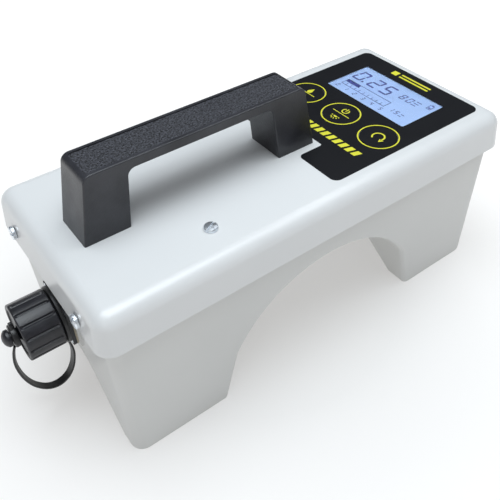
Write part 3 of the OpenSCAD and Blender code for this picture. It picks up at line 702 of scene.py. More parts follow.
handle = edged_bar("handle_bridge", handle_outline, handle_half_w, handle_top_half_w, handle_h,
                   handle_edge_r, lid_top_z)
handle.data.transform(Matrix.Translation((handle_x, 0, 0)))
pocket_border = 2.5
pocket_half_l = handle_top_half_l - pocket_border
pocket_half_w = handle_top_half_w - pocket_border
pocket_z = handle_high.z - 1.2
handle_insert_r = 4.0
handle_insert_depth = 12.0
pocket = [(handle_x + x, y) for x, y in rounded_rect(pocket_half_l, pocket_half_w, 2)]
carve(handle, prism("pocket", pocket, pocket_z, handle_high.z + 2))
drill(handle, [(handle_x + s * leg_x, 0, handle_insert_r) for s in (-1, 1)], lid_top_z - 1,
      lid_top_z + handle_insert_depth)
handle_plastic = finish_material(
    "handle_plastic", (0.015, 0.0155, 0.020), (0.030, 0.031, 0.038), 0.38, 0.06, patch=60.0,
    grain_scale=1100.0, grain_depth=0.10, cells=0.5, Specular_IOR_Level=0.5,
)
place_piece(handle, "case", "handle_plastic", handle_plastic, "handle")

inlay_gap = 0.1
inlay_half_l = pocket_half_l - inlay_gap
inlay_half_w = pocket_half_w - inlay_gap
inlay_top_z = in_case("grip_pad")[1].z
inlay_corner_r = 1.9
inlay_step = 0.42
pebble = 1.0
pebble_depth = 0.42
inlay_rim_drop = 0.25


def pebble_height(x, y):
    """From 0 in a valley to 1 on top of a pebble of the cast rubber."""
    near = noise.voronoi(Vector((x / pebble, y / pebble, 3.7)))[0]
    bump = min(1.0, (near[1] - near[0]) / 0.45)
    return bump * bump * (3 - 2 * bump) * (0.75 + 0.25 * noise.noise(Vector((x * 0.9, y * 0.9, 1.3))))


bm = bmesh.new()
across = round(2 * inlay_half_w / inlay_step)
along = round(2 * inlay_half_l / inlay_step)
grid = []
for i in range(along + 1):
    line = []
    for j in range(across + 1):
        x = -inlay_half_l + 2 * inlay_half_l * i / along
        y = -inlay_half_w + 2 * inlay_half_w * j / across
        cx = math.copysign(max(0.0, abs(x) - (inlay_half_l - inlay_corner_r)), x)
        cy = math.copysign(max(0.0, abs(y) - (inlay_half_w - inlay_corner_r)), y)
        reach = math.hypot(cx, cy)
        if cx and cy and reach > inlay_corner_r:
            x -= cx * (1 - inlay_corner_r / reach)
            y -= cy * (1 - inlay_corner_r / reach)
        rim = min(i, along - i, j, across - j)
        sink = pebble_depth * (1 - pebble_height(x, y)) if rim else inlay_rim_drop
        line.append(bm.verts.new((handle_x + x, y, inlay_top_z - sink)))
    grid.append(line)
for i in range(along):
    for j in range(across):
        bm.faces.new((grid[i][j], grid[i + 1][j], grid[i + 1][j + 1], grid[i][j + 1]))
border = [row[0] for row in grid] + grid[-1][1:] + [row[-1] for row in grid[-2::-1]] + grid[0][-2:0:-1]
below = [bm.verts.new((v.co.x, v.co.y, pocket_z)) for v in border]
for k, v in enumerate(border):
    after = (k + 1) % len(border)
    bm.faces.new((v, below[k], below[after], border[after]))
bm.faces.new(below[::-1])
inlay = solid("grip_inlay", bm)
grip_rubber = finish_material(
    "grip_rubber", (0.001, 0.001, 0.0015), (0.066, 0.068, 0.082), 0.55, 0.08, patch=950.0,
    grain_scale=3200.0, grain_depth=0.05, cells=0.5, Specular_IOR_Level=0.4,
)
place_piece(inlay, "case", "grip_rubber", grip_rubber, "grip_pad", sharp=60)

sheet_metal = finish_material(
    "sheet_metal", (0.66, 0.67, 0.68), (0.60, 0.61, 0.62), 0.34, 0.06, patch=60.0,
    grain_scale=700.0, grain_depth=0.008, cells=0.2, Metallic=1.0,
)
dress(sheet_metal, "handle_backing_plate", "battery_cradle", "display_frame")

# ------------------------------------------------------------------ screws
# Bright zinc plated steel screws with slotted heads. Two hold the battery cradle through the lid,
# four hold the lid to the tub, and others hold the inlet, the boards and the handle.

zinc = finish_material(
    "zinc_plate", (0.82, 0.86, 0.90), (0.68, 0.73, 0.79), 0.36, 0.08, patch=350.0,
    grain_scale=3000.0, grain_depth=0.004, cells=0.3, Metallic=1.0,
)


screw_pitch = 0.7
screw_root = 0.84
screw_sides = 32


def slotted(screw, head_r, half_w, low, high):
    """Cuts the driver's slot across a screw's head."""
    return carve(screw, prism("slot", rectangle(-head_r - 1, -half_w, head_r + 1, half_w), low, high))


def screw_model(head_r, head_h, shank_r, shank_l):
    """A slotted pan head screw that stands on its seat at z = 0, with a rolled thread."""
    bm = bmesh.new()
    profile = []
    for share in (0.3, 0.55, 0.75):
        profile.append((head_r * share, head_h - 0.22 * head_h * share ** 2))
    for i in range(5):
        a = math.radians(60 - 75 * i / 4)
        profile.append((head_r * (0.86 + 0.14 * math.cos(a)), head_h * (0.52 + 0.36 * math.sin(a))))
    profile += [(head_r * 0.97, 0.0), (shank_r, 0.0)]
    turns = round(shank_l / screw_pitch)
    for i in range(turns):
        z = -0.3 - i * (shank_l - 0.8) / turns
        profile += [(shank_r, z), (shank_r * screw_root, z - (shank_l - 0.8) / turns / 2)]
    profile += [(shank_r * 0.8, -shank_l + 0.3), (shank_r * 0.6, -shank_l)]
    rows = loft(bm, lathe_rings(profile, screw_sides), caps=False)
    close_tip(bm, rows[0], (0, 0, head_h))
    close_tip(bm, rows[-1], (0, 0, -shank_l))
    return slotted(solid("screw", bm), head_r, 0.14 * head_r, head_h * 0.45, head_h + 1)


def countersunk_model(head_r, head_h, shank_r, shank_l):
    """A slotted countersunk screw whose flat face lies on z = 0."""
    bm = bmesh.new()
    turns = round(shank_l / screw_pitch)
    profile = [(head_r - 0.1, 0.0), (head_r, -0.08), (shank_r, -head_h)]
    for i in range(turns):
        z = -head_h - 0.2 - i * (shank_l - head_h - 0.6) / turns
        profile += [(shank_r, z), (shank_r * screw_root, z - screw_pitch / 2)]
    profile.append((shank_r * 0.6, -shank_l))
    loft(bm, lathe_rings(profile[::-1], screw_sides))
    return slotted(solid("screw", bm), head_r, 0.35, -head_h * 0.5, 1)


def screw_setter():
    """Geometry Nodes: puts a screw on each point, turned as the point's attribute says."""
    tree = bpy.data.node_groups.new("set_screws", "GeometryNodeTree")
    face = tree.interface
    face.new_socket("Points", in_out="INPUT", socket_type="NodeSocketGeometry")
    face.new_socket("Screw", in_out="INPUT", socket_type="NodeSocketObject")
    face.new_socket("Finish", in_out="INPUT", socket_type="NodeSocketMaterial")
    face.new_socket("Screws", in_out="OUTPUT", socket_type="NodeSocketGeometry")
    entry, leave = tree.nodes.new("NodeGroupInput"), tree.nodes.new("NodeGroupOutput")
    model = tree.nodes.new("GeometryNodeObjectInfo")
    turn = tree.nodes.new("GeometryNodeInputNamedAttribute")
    turn.data_type = "FLOAT_VECTOR"
    turn.inputs["Name"].default_value = "turn"
    put = tree.nodes.new("GeometryNodeInstanceOnPoints")
    real = tree.nodes.new("GeometryNodeRealizeInstances")
    paint = tree.nodes.new("GeometryNodeSetMaterial")
    tree.links.new(entry.outputs["Points"], put.inputs["Points"])
    tree.links.new(entry.outputs["Screw"], model.inputs["Object"])
    tree.links.new(model.outputs["Geometry"], put.inputs["Instance"])
    tree.links.new(turn.outputs["Attribute"], put.inputs["Rotation"])
    tree.links.new(put.outputs["Instances"], real.inputs["Geometry"])
    tree.links.new(real.outputs["Geometry"], paint.inputs["Geometry"])
    tree.links.new(entry.outputs["Finish"], paint.inputs["Material"])
    tree.links.new(paint.outputs["Geometry"], leave.inputs["Screws"])
    return tree


screw_tree = screw_setter()


def set_screws(name, model, spots, node):
    """Screws of the case at the spots, each (place, direction the head faces, spin in degrees)."""
    mesh = bpy.data.meshes.new(name)
    mesh.from_pydata([place for place, face, spin in spots], [], [])
    turn = mesh.attributes.new("turn", "FLOAT_VECTOR", "POINT")
    for i, (place, face, spin) in enumerate(spots):
        stand = Vector(face).to_track_quat("Z", "Y").to_matrix().to_4x4()
        turn.data[i].vector = (stand @ Matrix.Rotation(math.radians(spin), 4, "Z")).to_euler()
    obj = bpy.data.objects.new(name, mesh)
    bpy.context.scene.collection.objects.link(obj)
    step = obj.modifiers.new("set_screws", "NODES")
    step.node_group = screw_tree
    sockets = {item.name: item.identifier for item in screw_tree.interface.items_tree
               if item.in_out == "INPUT"}
    step[sockets["Screw"]] = model
    step[sockets["Finish"]] = zinc
    bake(obj)
    bpy.data.objects.remove(model)
    obj.data.attributes.remove(obj.data.attributes["turn"])
    return place_piece(obj, "case", "zinc_plate", zinc, node, sharp=30)


UP, DOWN = (0, 0, 1), (0, 0, -1)
set_screws("lid_top_screws", screw_model(head_r=3.9, head_h=2.2, shank_r=1.95, shank_l=8),
           [((top_screw_x, s * top_screw_y, lid_top_z), UP, 28) for s in (-1, 1)], "top_screws")
end_seat_x = lid_half_l - 0.3
set_screws("lid_end_screws", screw_model(head_r=4.0, head_h=2.4, shank_r=1.75, shank_l=11),
           [((end * end_seat_x, y, end_screw_z), (end, 0, 0), spin)
            for end, y, spin in ((-1, -end_screw_y, 70), (-1, end_screw_y, 20), (1, -end_screw_y, 35),
                                 (1, end_screw_y, 110))], "end_screws")
flange_face_x = in_case("inlet_screws")[0].x
set_screws("inlet_fixing_screws", countersunk_model(bolt_head_r, head_h=1.05, shank_r=bolt_r, shank_l=14),
           [((flange_face_x, y, z), (-1, 0, 0), 25 + 3 * y + 2 * (z - inlet_z)) for y, z in inlet_bolts],
           "inlet_screws")
board_top_z = in_case("main_board")[1].z
set_screws("main_board_fixings", screw_model(head_r=2.6, head_h=1.8, shank_r=1.25, shank_l=7),
           [((x, y, board_top_z), UP, 15 + x + y) for x, y in pillar_spots], "main_board_screws")
display_low, display_high = in_case("display_board")
post_x = (display_low.x + 4, display_high.x - 3.2)
post_y = display_high.y - 2.6
set_screws("display_fixings", screw_model(head_r=2.6, head_h=1.8, shank_r=1.5, shank_l=6),
           [((x, y, display_low.z), DOWN, 40 + x - y) for x in post_x for y in (-post_y, post_y)],
           "display_screws")
plate_z = in_case("handle_backing_plate")[0].z
set_screws("handle_fixings", screw_model(head_r=4.6, head_h=3, shank_r=2.5, shank_l=14),
           [((handle_x + s * leg_x, 0, plate_z), DOWN, 30 * s) for s in (-1, 1)], "handle_screws")

# ------------------------------------------------------------------ control film
# A black polyester film with a fine matt texture is stuck to the lid. It has yellow marks, and a
# clear window in it shows the display.

film_low, film_high = in_case("control_overlay")
film_bottom_z, film_top_z = film_low.z, film_high.z
film_slot_x = film_low.x + 18.6
film_slot_half = 19.2
film_outline = rounded_corners(
    [(film_high.x, film_low.y), (film_high.x, film_high.y), (film_low.x, film_high.y),
     (film_low.x, film_slot_half), (film_slot_x, film_slot_half), (film_slot_x, -film_slot_half),
     (film_low.x, -film_slot_half), (film_low.x, film_low.y)],
    [5, 5, 5, 3, 2, 2, 3, 5], 12)
window_low, window_high = in_case("display_window")
window_x = (window_low.x + window_high.x) / 2
window_half_l = window_high.y
window_half_w = (window_high.x - window_low.x) / 2
window_outline = [(window_x + x, y) for x, y in rounded_rect(window_half_w, window_half_l, 1.5, 6)]


def flat_shape(name, outlines, low, high):
    """A flat plate between two heights: outlines that lie inside another one are holes in it."""
    curve = bpy.data.curves.new(name, "CURVE")
    curve.dimensions = "2D"
    curve.fill_mode = "BOTH"
    curve.extrude = (high - low) / 2
    for outline in outlines:
        spline = curve.splines.new("POLY")
        spline.points.add(len(outline) - 1)
        for point, (x, y) in zip(spline.points, outline):
            point.co = (x, y, 0, 1)
        spline.use_cyclic_u = True
    drawn = bpy.data.objects.new(name + "_line", curve)
    bpy.context.scene.collection.objects.link(drawn)
    bpy.context.view_layer.update()
    mesh = bpy.data.meshes.new_from_object(drawn.evaluated_get(bpy.context.evaluated_depsgraph_get()))
    bpy.data.objects.remove(drawn)
    bm = bmesh.new()
    bm.from_mesh(mesh)
    bpy.data.meshes.remove(mesh)
    bmesh.ops.translate(bm, verts=bm.verts, vec=(0, 0, (low + high) / 2))
    return solid(name, bm)


film = flat_shape("control_film", [film_outline, window_outline]
                  + [circle(x, y, key_hole_r, 64) for x, y in key_spots], film_bottom_z, film_top_z)
film_black = finish_material(
    "film_black", (0.0035, 0.004, 0.006), (0.005, 0.0055, 0.0075), 0.42, 0.04, patch=25.0,
    grain_scale=5000.0, grain_depth=0.012, cells=0.2, Specular_IOR_Level=0.2,
)
place_piece(film, "case", "overlay_film", film_black, "control_overlay")

# Printed marks stand a hair's breadth on the film. They are read with -Y to the right and +X up.
ink_t = 0.02


def bar(u, v, w, h, slant=0.0):
    """A bar centred on u, v in reading directions, w wide and h high, leaning like italics."""
    corners = [(-w / 2 - slant / 2, -h / 2), (w / 2 - slant / 2, -h / 2), (w / 2 + slant / 2, h / 2),
               (-w / 2 + slant / 2, h / 2)]
    return [(u + x, v + y) for x, y in corners]


def arc_band(u, v, r_in, r_out, start, end, steps=28):
    """Part of a ring between two angles in degrees."""
    angles = [math.radians(start + (end - start) * i / steps) for i in range(steps + 1)]
    outside = [(u + r_out * math.cos(a), v + r_out * math.sin(a)) for a in angles]
    return outside + [(u + r_in * math.cos(a), v + r_in * math.sin(a)) for a in angles[::-1]]


def spoke(u, v, angle, r_in, r_out, w):
    """A short bar that points away from u, v."""
    a = math.radians(angle)
    along = Vector((math.cos(a), math.sin(a)))
    side = Vector((-math.sin(a), math.cos(a))) * w / 2
    ends = [along * r_in - side, along * r_out - side, along * r_out + side, along * r_in + side]
    return [(u + p.x, v + p.y) for p in ends]


def printed(name, shapes, centre, z, body, slot, material):
    """Prints shapes drawn in reading directions round the centre, at height z. A shape is one
    outline, or a list of outlines of which the inner ones are holes."""
    parts = bmesh.new()
    for shape in shapes:
        outlines = shape if isinstance(shape[0], list) else [shape]
        placed = [[(centre[0] + v, centre[1] - u) for u, v in outline] for outline in outlines]
        piece = flat_shape(name + "_mark", placed, z, z + ink_t)
        parts.from_mesh(piece.data)
        bpy.data.objects.remove(piece)
    return place_piece(solid(name, parts), body, slot, material)


ink_yellow = finish_material(
    "ink_yellow", (0.72, 0.70, 0.045), (0.66, 0.64, 0.035), 0.40, 0.05, patch=120.0,
    grain_scale=5000.0, grain_depth=0.01, cells=0.2,
)
ring_in, ring_out = 12.25, 13.1
for node, spot in zip(key_nodes, key_spots):
    printed(node + "_ring", [[circle(0, 0, ring_out, 72), circle(0, 0, ring_in, 72)]], spot, film_top_z,
            "case", "overlay_film", ink_yellow)
title_marks = [bar(-38.5 + 5.5 * i, 0, 3.6, 5.4, 1.6) for i in range(15)]
printed("title_marks", title_marks, (37.4, 0), film_top_z, "case", "overlay_film", ink_yellow)
maker_marks = [bar(-15.5, 0, 5.0, 5.0), bar(2.5, 1.6, 26, 1.5), bar(2.5, -1.6, 26, 1.5)]
printed("plate_marks", maker_marks, (126.4, 0), film_top_z, "case", "overlay_film", ink_yellow)

# ------------------------------------------------------------------ keys
# Each key is a stiff disc in a hole of the film, with a stem that presses a switch on the display
# board. The keys have plain symbols: drop and rays, mains mark and lamp, and a turning arrow.

key_plastic = finish_material(
    "key_film", (0.004, 0.0045, 0.0065), (0.0055, 0.006, 0.008), 0.41, 0.04, patch=60.0,
    grain_scale=5000.0, grain_depth=0.012, cells=0.2, Specular_IOR_Level=0.2,
)
key_r = 11.8
key_back_z = lid_top_z - 0.5
stem_r = 3.0


def key_disc(name, spot, low, high):
    """A disc with a soft edge, and its stem."""
    bm = bmesh.new()
    profile = [(stem_r - 0.3, low), (stem_r, low + 0.3), (stem_r, key_back_z), (key_r, key_back_z),
               (key_r, high - 0.12), (key_r - 0.04, high - 0.04), (key_r - 0.12, high)]
    loft(bm, lathe_rings(profile, 96, *spot))
    return solid(name, bm)


def drop(u, v, r):
    """A falling drop's outline: a round belly and a point on top."""
    belly = [(u + r * math.cos(a), v + r * math.sin(a))
             for a in (math.radians(145 + 250 * i / 20) for i in range(21))]
    return belly + [(u, v + 2.3 * r)]


divider = bar(0, 0, 15, 0.6)
key_marks = {
    "mode_key": [divider, drop(0, 2.6, 1.9)]
    + [spoke(0, -4.6, 45 * i, 1.9, 3.0, 0.7) for i in range(8)] + [circle(0, -4.6, 1.3, 24)],
    "power_light_key": [divider, arc_band(0, 4.2, 2.0, 2.8, -240, 60), bar(0, 5.6, 0.8, 3.2)]
    + [spoke(0, -4.6, 180 + 36 * i, 2.3, 3.5, 0.7) for i in range(6)]
    + [arc_band(0, -4.2, 0, 1.6, 180, 360)],
    "reset_key": [arc_band(0, 0, 3.4, 4.4, -30, 240), [(2.2, -1.2), (5.6, -1.2), (3.9, -4.2)]],
}
for node, spot in zip(key_nodes, key_spots):
    low, high = in_case(node)
    place_piece(key_disc(node + "_disc", spot, low.z, high.z), node, "overlay_film", key_plastic, node)
    printed(node + "_symbol", key_marks[node], spot, high.z, node, "overlay_film", ink_yellow)

# ------------------------------------------------------------------ display
# A dot matrix display sits in a pressed metal frame under the window. Its picture is drawn as dark
# blue cells on the pale, lit glass: a reading, a scale with a filled part, and a battery mark.

display_glow = finish_material(
    "display_glass", (0.32, 0.45, 0.72), (0.30, 0.43, 0.70), 0.16, 0.02, patch=40.0,
    Coat_Weight=0.2, Emission_Color=(0.42, 0.58, 0.92, 1), Emission_Strength=0.26,
)
dress(display_glow, "display_glass")
cell_ink = finish_material(
    "display_cells", (0.055, 0.065, 0.29), (0.065, 0.08, 0.33), 0.3, 0.02, patch=400.0,
    grain_scale=2500.0, grain_depth=0.004, cells=0.6,
)
clear_film = bpy.data.materials.new("clear_film")
clear_film.use_nodes = True
clear_tree = clear_film.node_tree
clear_shader = clear_tree.nodes["Principled BSDF"]
clear_shader.inputs["Base Color"].default_value = (1, 1, 1, 1)
clear_shader.inputs["IOR"].default_value = 1.2
clear_shader.inputs["Transmission Weight"].default_value = 1.0
clear_place = clear_tree.nodes.new("ShaderNodeTexCoord").outputs["Object"]
clear_smears = noise_node(clear_tree, 900.0, 3.0, clear_place)
clear_gloss = remap(clear_tree, clear_smears.outputs["Fac"], 0.3, 0.7, 0.02, 0.06)
clear_tree.links.new(clear_gloss, clear_shader.inputs["Roughness"])
window = flat_shape("window_film", [window_outline], film_bottom_z, film_top_z)
place_piece(window, "case", "clear_window", clear_film, "display_window")

# The bars of each figure. Bars a, g and d lie on top, across the middle and at the foot, f and b
# stand above on the left and right, and e and c stand below them.
SEGMENTS = {"0": "abcdef", "1": "bc", "2": "abged", "3": "abgcd", "4": "fgbc", "5": "afgcd", "8": "abcdefg"}


def digit(sign, u, v, w, h, t, slant):
    """One seven-bar figure whose lower left corner is at u, v."""
    bars = {name: bar(w / 2, y, w - t, t) for name, y in (("a", h - t / 2), ("g", h / 2), ("d", t / 2))}
    for left, right, y in (("f", "b", 0.75), ("e", "c", 0.25)):
        bars[left] = bar(t / 2, h * y, t, h / 2 - t)
        bars[right] = bar(w - t / 2, h * y, t, h / 2 - t)
    lean = slant / h
    return [[(u + x + y * lean, v + y) for x, y in bars[name]] for name in SEGMENTS[sign]]


glass_top_z = in_case("display_glass")[1].z
picture = []
# The large reading with its point, and two smaller figures with three strokes beside them.
for i, sign in enumerate("025"):
    picture += digit(sign, -33 + 11.5 * i + (2.5 if i else 0), 1.0, 8.0, 12.5, 1.5, 2.0)
picture.append(bar(-22.6, 1.9, 1.7, 1.7))
picture += digit("8", 7.5, 5.6, 3.8, 6.4, 0.8, 1.0) + digit("0", 13.5, 5.6, 3.8, 6.4, 0.8, 1.0)
picture += [bar(20.6, 6.2, 4.2, 0.8), bar(21.2, 8.8, 4.2, 0.8), bar(21.8, 11.4, 4.2, 0.8)]
# The scale's frame, ticks and filled part, with its figures below.
picture.append([bar(-10.5, -6.4, 41, 7.6), bar(-10.5, -6.4, 40, 6.6)])
picture += [bar(-31 + 4.1 * i, -8.4, 0.45, 2.4) for i in range(1, 10)]
picture.append([(-31, -2.6), (-19, -2.6), (-17.6, -6.2), (-31, -6.2)])
for i, sign in enumerate("012345"):
    picture += digit(sign, -31.6 + 8.2 * i, -15.4, 2.0, 3.6, 0.5, 0.5)
# Two more small figures with two strokes, and the battery mark.
picture += digit("1", 14.5, -11.0, 2.6, 4.4, 0.6, 0.6) + digit("5", 19.0, -11.0, 2.6, 4.4, 0.6, 0.6)
picture += [bar(24.4, -10.6, 2.6, 0.7), bar(25.2, -8.2, 2.6, 0.7)]
picture.append([bar(30, 12.6, 3.6, 5.4), bar(30, 12.6, 2.5, 4.3)])
picture += [bar(30, 15.8, 1.6, 0.9), bar(30, 11.8, 1.6, 1.6)]
printed("display_picture", picture, (window_x, 0), glass_top_z, "case", "display_glass", cell_ink)

# ------------------------------------------------------------------ inlet
# The charging inlet is a black moulding with a square flange and a coarse two-start thread for its
# cap. Four small screws hold it to the flat seat on the tub's end, over a soft gasket.

inlet_plastic = finish_material(
    "inlet_plastic", (0.017, 0.0175, 0.020), (0.022, 0.0225, 0.026), 0.42, 0.06, patch=120.0,
    grain_scale=1600.0, grain_depth=0.04, cells=0.3,
)


def turned(name, profile, count, radius=None):
    """A shape turned about the inlet's axis from (x, r) points that start and end on the axis or
    close on themselves. radius(x, r, angle) may change the radius on the way round."""
    bm = bmesh.new()
    closed = profile[0] == profile[-1]
    tips = [i for i in (0, len(profile) - 1) if profile[i][1] == 0 and not closed]
    rings = []
    for i, (x, r) in enumerate(profile):
        if i in tips:
            continue
        ring = []
        for k in range(count):
            a = 2 * math.pi * k / count
            reach = radius(x, r, a) if radius else r
            ring.append((x, reach * math.cos(a), inlet_z + reach * math.sin(a)))
        rings.append(ring)
    rows = loft(bm, rings, caps=not tips and not closed)
    for i in tips:
        close_tip(bm, rows[0] if i == 0 else rows[-1], (profile[i][0], 0, inlet_z))
    return solid(name, bm)


inlet_low, inlet_high = in_case("inlet_shell")
barrel_front_x, barrel_back_x = inlet_low.x, inlet_high.x
gasket_low, gasket_high = in_case("inlet_gasket")
flange_back_x = gasket_low.x
flange_x = flange_back_x - 2
barrel_r = 12.5
barrel_back_r = 12.9
socket_r = 10.5
thread_lead = 5.0
thread_depth = 0.75
thread_start_x, thread_end_x = barrel_front_x + 1.2, flange_x - 3.0
thread_fade = 0.8


def threaded(x, r, angle):
    if r != barrel_r or not thread_start_x <= x <= thread_end_x:
        return r
    phase = (2 * (x / thread_lead - angle / (2 * math.pi))) % 1
    fade = min(1.0, (x - thread_start_x) / thread_fade, (thread_end_x - x) / thread_fade)
    return r - thread_depth * fade * min(1.0, max(0.0, 2.2 * abs(2 * phase - 1) - 0.6))


barrel = [(barrel_front_x, socket_r), (barrel_front_x, barrel_r - 0.5),
          (barrel_front_x + 0.15, barrel_r - 0.15), (barrel_front_x + 0.5, barrel_r)]
thread_rings = 56
barrel += [(thread_start_x + (thread_end_x - thread_start_x) * i / thread_rings, barrel_r)
           for i in range(thread_rings + 1)]
barrel += [(flange_back_x - 0.5, barrel_r), (flange_back_x - 0.5, barrel_back_r),
           (barrel_back_x - 0.4, barrel_back_r), (barrel_back_x, barrel_back_r - 0.4),
           (barrel_back_x, socket_r), (barrel_front_x, socket_r)]
inlet = turned("inlet_housing", barrel, 96, threaded)
flange_half = gasket_high.y
flange = [(y, inlet_z + z) for y, z in rounded_rect(flange_half, flange_half, 3, 8)]
flange_plate = prism("flange", flange, flange_x, flange_back_x, "X")
soften(flange_plate, 0.3, 60)
flange_bores = [(0, inlet_z, barrel_r - 1)] + [(y, z, bolt_r + bolt_play) for y, z in inlet_bolts]
drill(flange_plate, flange_bores, flange_x - 1, flange_back_x + 1, "X")
head_sinks = [(y, z, bolt_head_r + bolt_play) for y, z in inlet_bolts]
drill(flange_plate, head_sinks, flange_x - 1, flange_x + 0.5, "X")
carve(inlet, flange_plate, "UNION")
place_piece(inlet, "case", "inlet_plastic", inlet_plastic, "inlet_shell", sharp=40)
dress(inlet_plastic, "inlet_insulator")

gasket_tan = finish_material(
    "gasket_tan", (0.40, 0.36, 0.28), (0.34, 0.30, 0.23), 0.8, 0.05, patch=250.0,
    grain_scale=1500.0, grain_depth=0.04, cells=0.4,
)
dress(gasket_tan, "inlet_gasket")

# ------------------------------------------------------------------ strap
# The cap's strap is moulded in one piece of soft black rubber: a ring clamped behind the cap, a flat
# band that hangs in a loop, and an eyelet with a pull tab that turns freely on the cap's neck.

strap_rubber = finish_material(
    "strap_rubber", (0.012, 0.012, 0.013), (0.018, 0.018, 0.019), 0.38, 0.07, patch=150.0,
    grain_scale=900.0, grain_depth=0.02, cells=0.1,
)
ring_low, ring_high = in_case("strap_ring")
ring_r = ring_high.y
ring_hole_r = barrel_r + 0.05
edge = 0.45
ring_profile = [
    (ring_low.x, ring_hole_r + 0.2), (ring_low.x, ring_r - 1.6), (ring_low.x + 0.35, ring_r - 1.1),
    (ring_low.x + 0.35, ring_r - edge), (ring_low.x + 0.48, ring_r - 0.13), (ring_low.x + 0.8, ring_r),
    (ring_high.x - edge, ring_r), (ring_high.x - 0.13, ring_r - 0.13), (ring_high.x, ring_r - edge),
    (ring_high.x, ring_hole_r), (ring_low.x + 0.2, ring_hole_r), (ring_low.x, ring_hole_r + 0.2),
]
place_piece(turned("strap_clamp_ring", ring_profile, 96), "case", "strap_rubber", strap_rubber, "strap_ring")

eyelet_low, eyelet_high = in_case("strap_eyelet")
eyelet_r = eyelet_high.y
eyelet_hole_r = 3.08
eyelet_profile = [
    (eyelet_low.x, eyelet_hole_r + 0.2), (eyelet_low.x, eyelet_r - 0.7),
    (eyelet_low.x + 0.2, eyelet_r - 0.2), (eyelet_low.x + 0.7, eyelet_r),
    (eyelet_high.x - 0.7, eyelet_r), (eyelet_high.x - 0.2, eyelet_r - 0.2),
    (eyelet_high.x, eyelet_r - 0.7), (eyelet_high.x, eyelet_hole_r + 0.2),
    (eyelet_high.x - 0.2, eyelet_hole_r), (eyelet_low.x + 0.2, eyelet_hole_r),
    (eyelet_low.x, eyelet_hole_r + 0.2),
]
eyelet = turned("strap_eye", eyelet_profile, 64)
tab = [(-2.6, eyelet_r - 1.6), (2.6, eyelet_r - 1.6), (1.5, eyelet_r + 2.2), (0.6, eyelet_r + 3.4),
       (-0.6, eyelet_r + 3.4), (-1.5, eyelet_r + 2.2)]
pull_tab = prism("tab", [(y, inlet_z + z) for y, z in tab], eyelet_low.x + 0.7, eyelet_high.x - 0.7, "X")
soften(pull_tab, 0.35, 30)
carve(eyelet, pull_tab, "UNION")
place_piece(eyelet, "cap_eyelet", "strap_rubber", strap_rubber, "strap_eyelet")

# The band's middle line in X and Z, hung from the eyelet round to the clamp ring.
strap_route = [
    (-171.0, 62.5), (-172.7, 58), (-173.9, 51), (-173.6, 43), (-171.8, 34), (-168.2, 25.5),
    (-162.4, 18.8), (-156, 16.8), (-150, 19.5), (-145.6, 26), (-143.3, 34.5),
    (-143, 41), (-143.9, 47), (-145.2, 51.5), (-145.4, 54),
]
strap_t = 1.25
strap_w_eye, strap_w_ring = 3.4, 5.0
strap_twist = math.radians(34)


def smooth_route(points, steps):
    """Points on a Catmull-Rom curve through the given ones."""
    def between(a, b, c, d, t):
        bend = (2 * a - 5 * b + 4 * c - d) * t ** 2 + (3 * b - a - 3 * c + d) * t ** 3
        return 0.5 * (2 * b + (c - a) * t + bend)

    padded = [points[0]] + list(points) + [points[-1]]
    line = [tuple(between(a, b, c, d, i / steps) for a, b, c, d in zip(*near))
            for near in zip(padded, padded[1:], padded[2:], padded[3:]) for i in range(steps)]
    return [Vector(p) for p in line + [points[-1]]]


bm = bmesh.new()
line = smooth_route(strap_route, 8)
rings = []
for i, here in enumerate(line):
    share = i / (len(line) - 1)
    ahead = (line[min(i + 1, len(line) - 1)] - line[max(i - 1, 0)]).normalized()
    along = Vector((ahead.x, 0, ahead.y))
    twist = strap_twist * max(0.0, 1 - share / 0.45)
    turn = Matrix.Rotation(twist, 3, along)
    wide = turn @ Vector((0, 1, 0))
    thick = along.cross(wide)
    w = strap_w_eye + (strap_w_ring - strap_w_eye) * min(1.0, share / 0.5)
    section = rounded_rect(w / 2, strap_t / 2, 0.4, 3)
    middle = Vector((here.x, 0, here.y))
    rings.append([middle + wide * y + thick * z for y, z in section])
loft(bm, rings)
band = place_piece(solid("strap_loop", bm), "case", "strap_rubber", strap_rubber, "strap_band")
# The band leaves the case again, because it stretches between the case and the eyelet.
band.parent = None
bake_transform(band)

# ------------------------------------------------------------------ cap
# The screw cap is a black nylon moulding. Narrow grooves part the broad lands round it, its front has
# a raised rim, and a neck with a button on its end carries the strap's eyelet.

cap_low, cap_high = in_case("cap_shell")
cap_open_x = cap_high.x
cap_l = 20.0
cap_front_x = cap_open_x - cap_l
cap_r = 16.5
cap_edge_r = 0.9
cap_bore_r = 12.56
seal_x = in_case("cap_seal")[0].x
neck_r = 3.0
button_r = 4.9
button_x = cap_front_x - 4.2
grooves = 14
groove_depth = 0.95
groove_half = 0.85
points_per_groove = 22


def grooved(x, r, angle):
    if r < cap_r - 0.05:
        return r
    pitch = 2 * math.pi / grooves
    off = abs((angle + pitch / 2) % pitch - pitch / 2) * cap_r
    start, end = cap_front_x + 0.7, cap_open_x - 0.7
    fade = max(0.0, min(1.0, (x - start) / 0.6, (end - x) / 0.6))
    cut = math.sqrt(max(0.0, 1 - (off / groove_half) ** 2)) * groove_depth
    crown = 0.12 * (1 - min(1.0, off / (pitch * cap_r / 2)))
    return r - fade * (cut + crown)


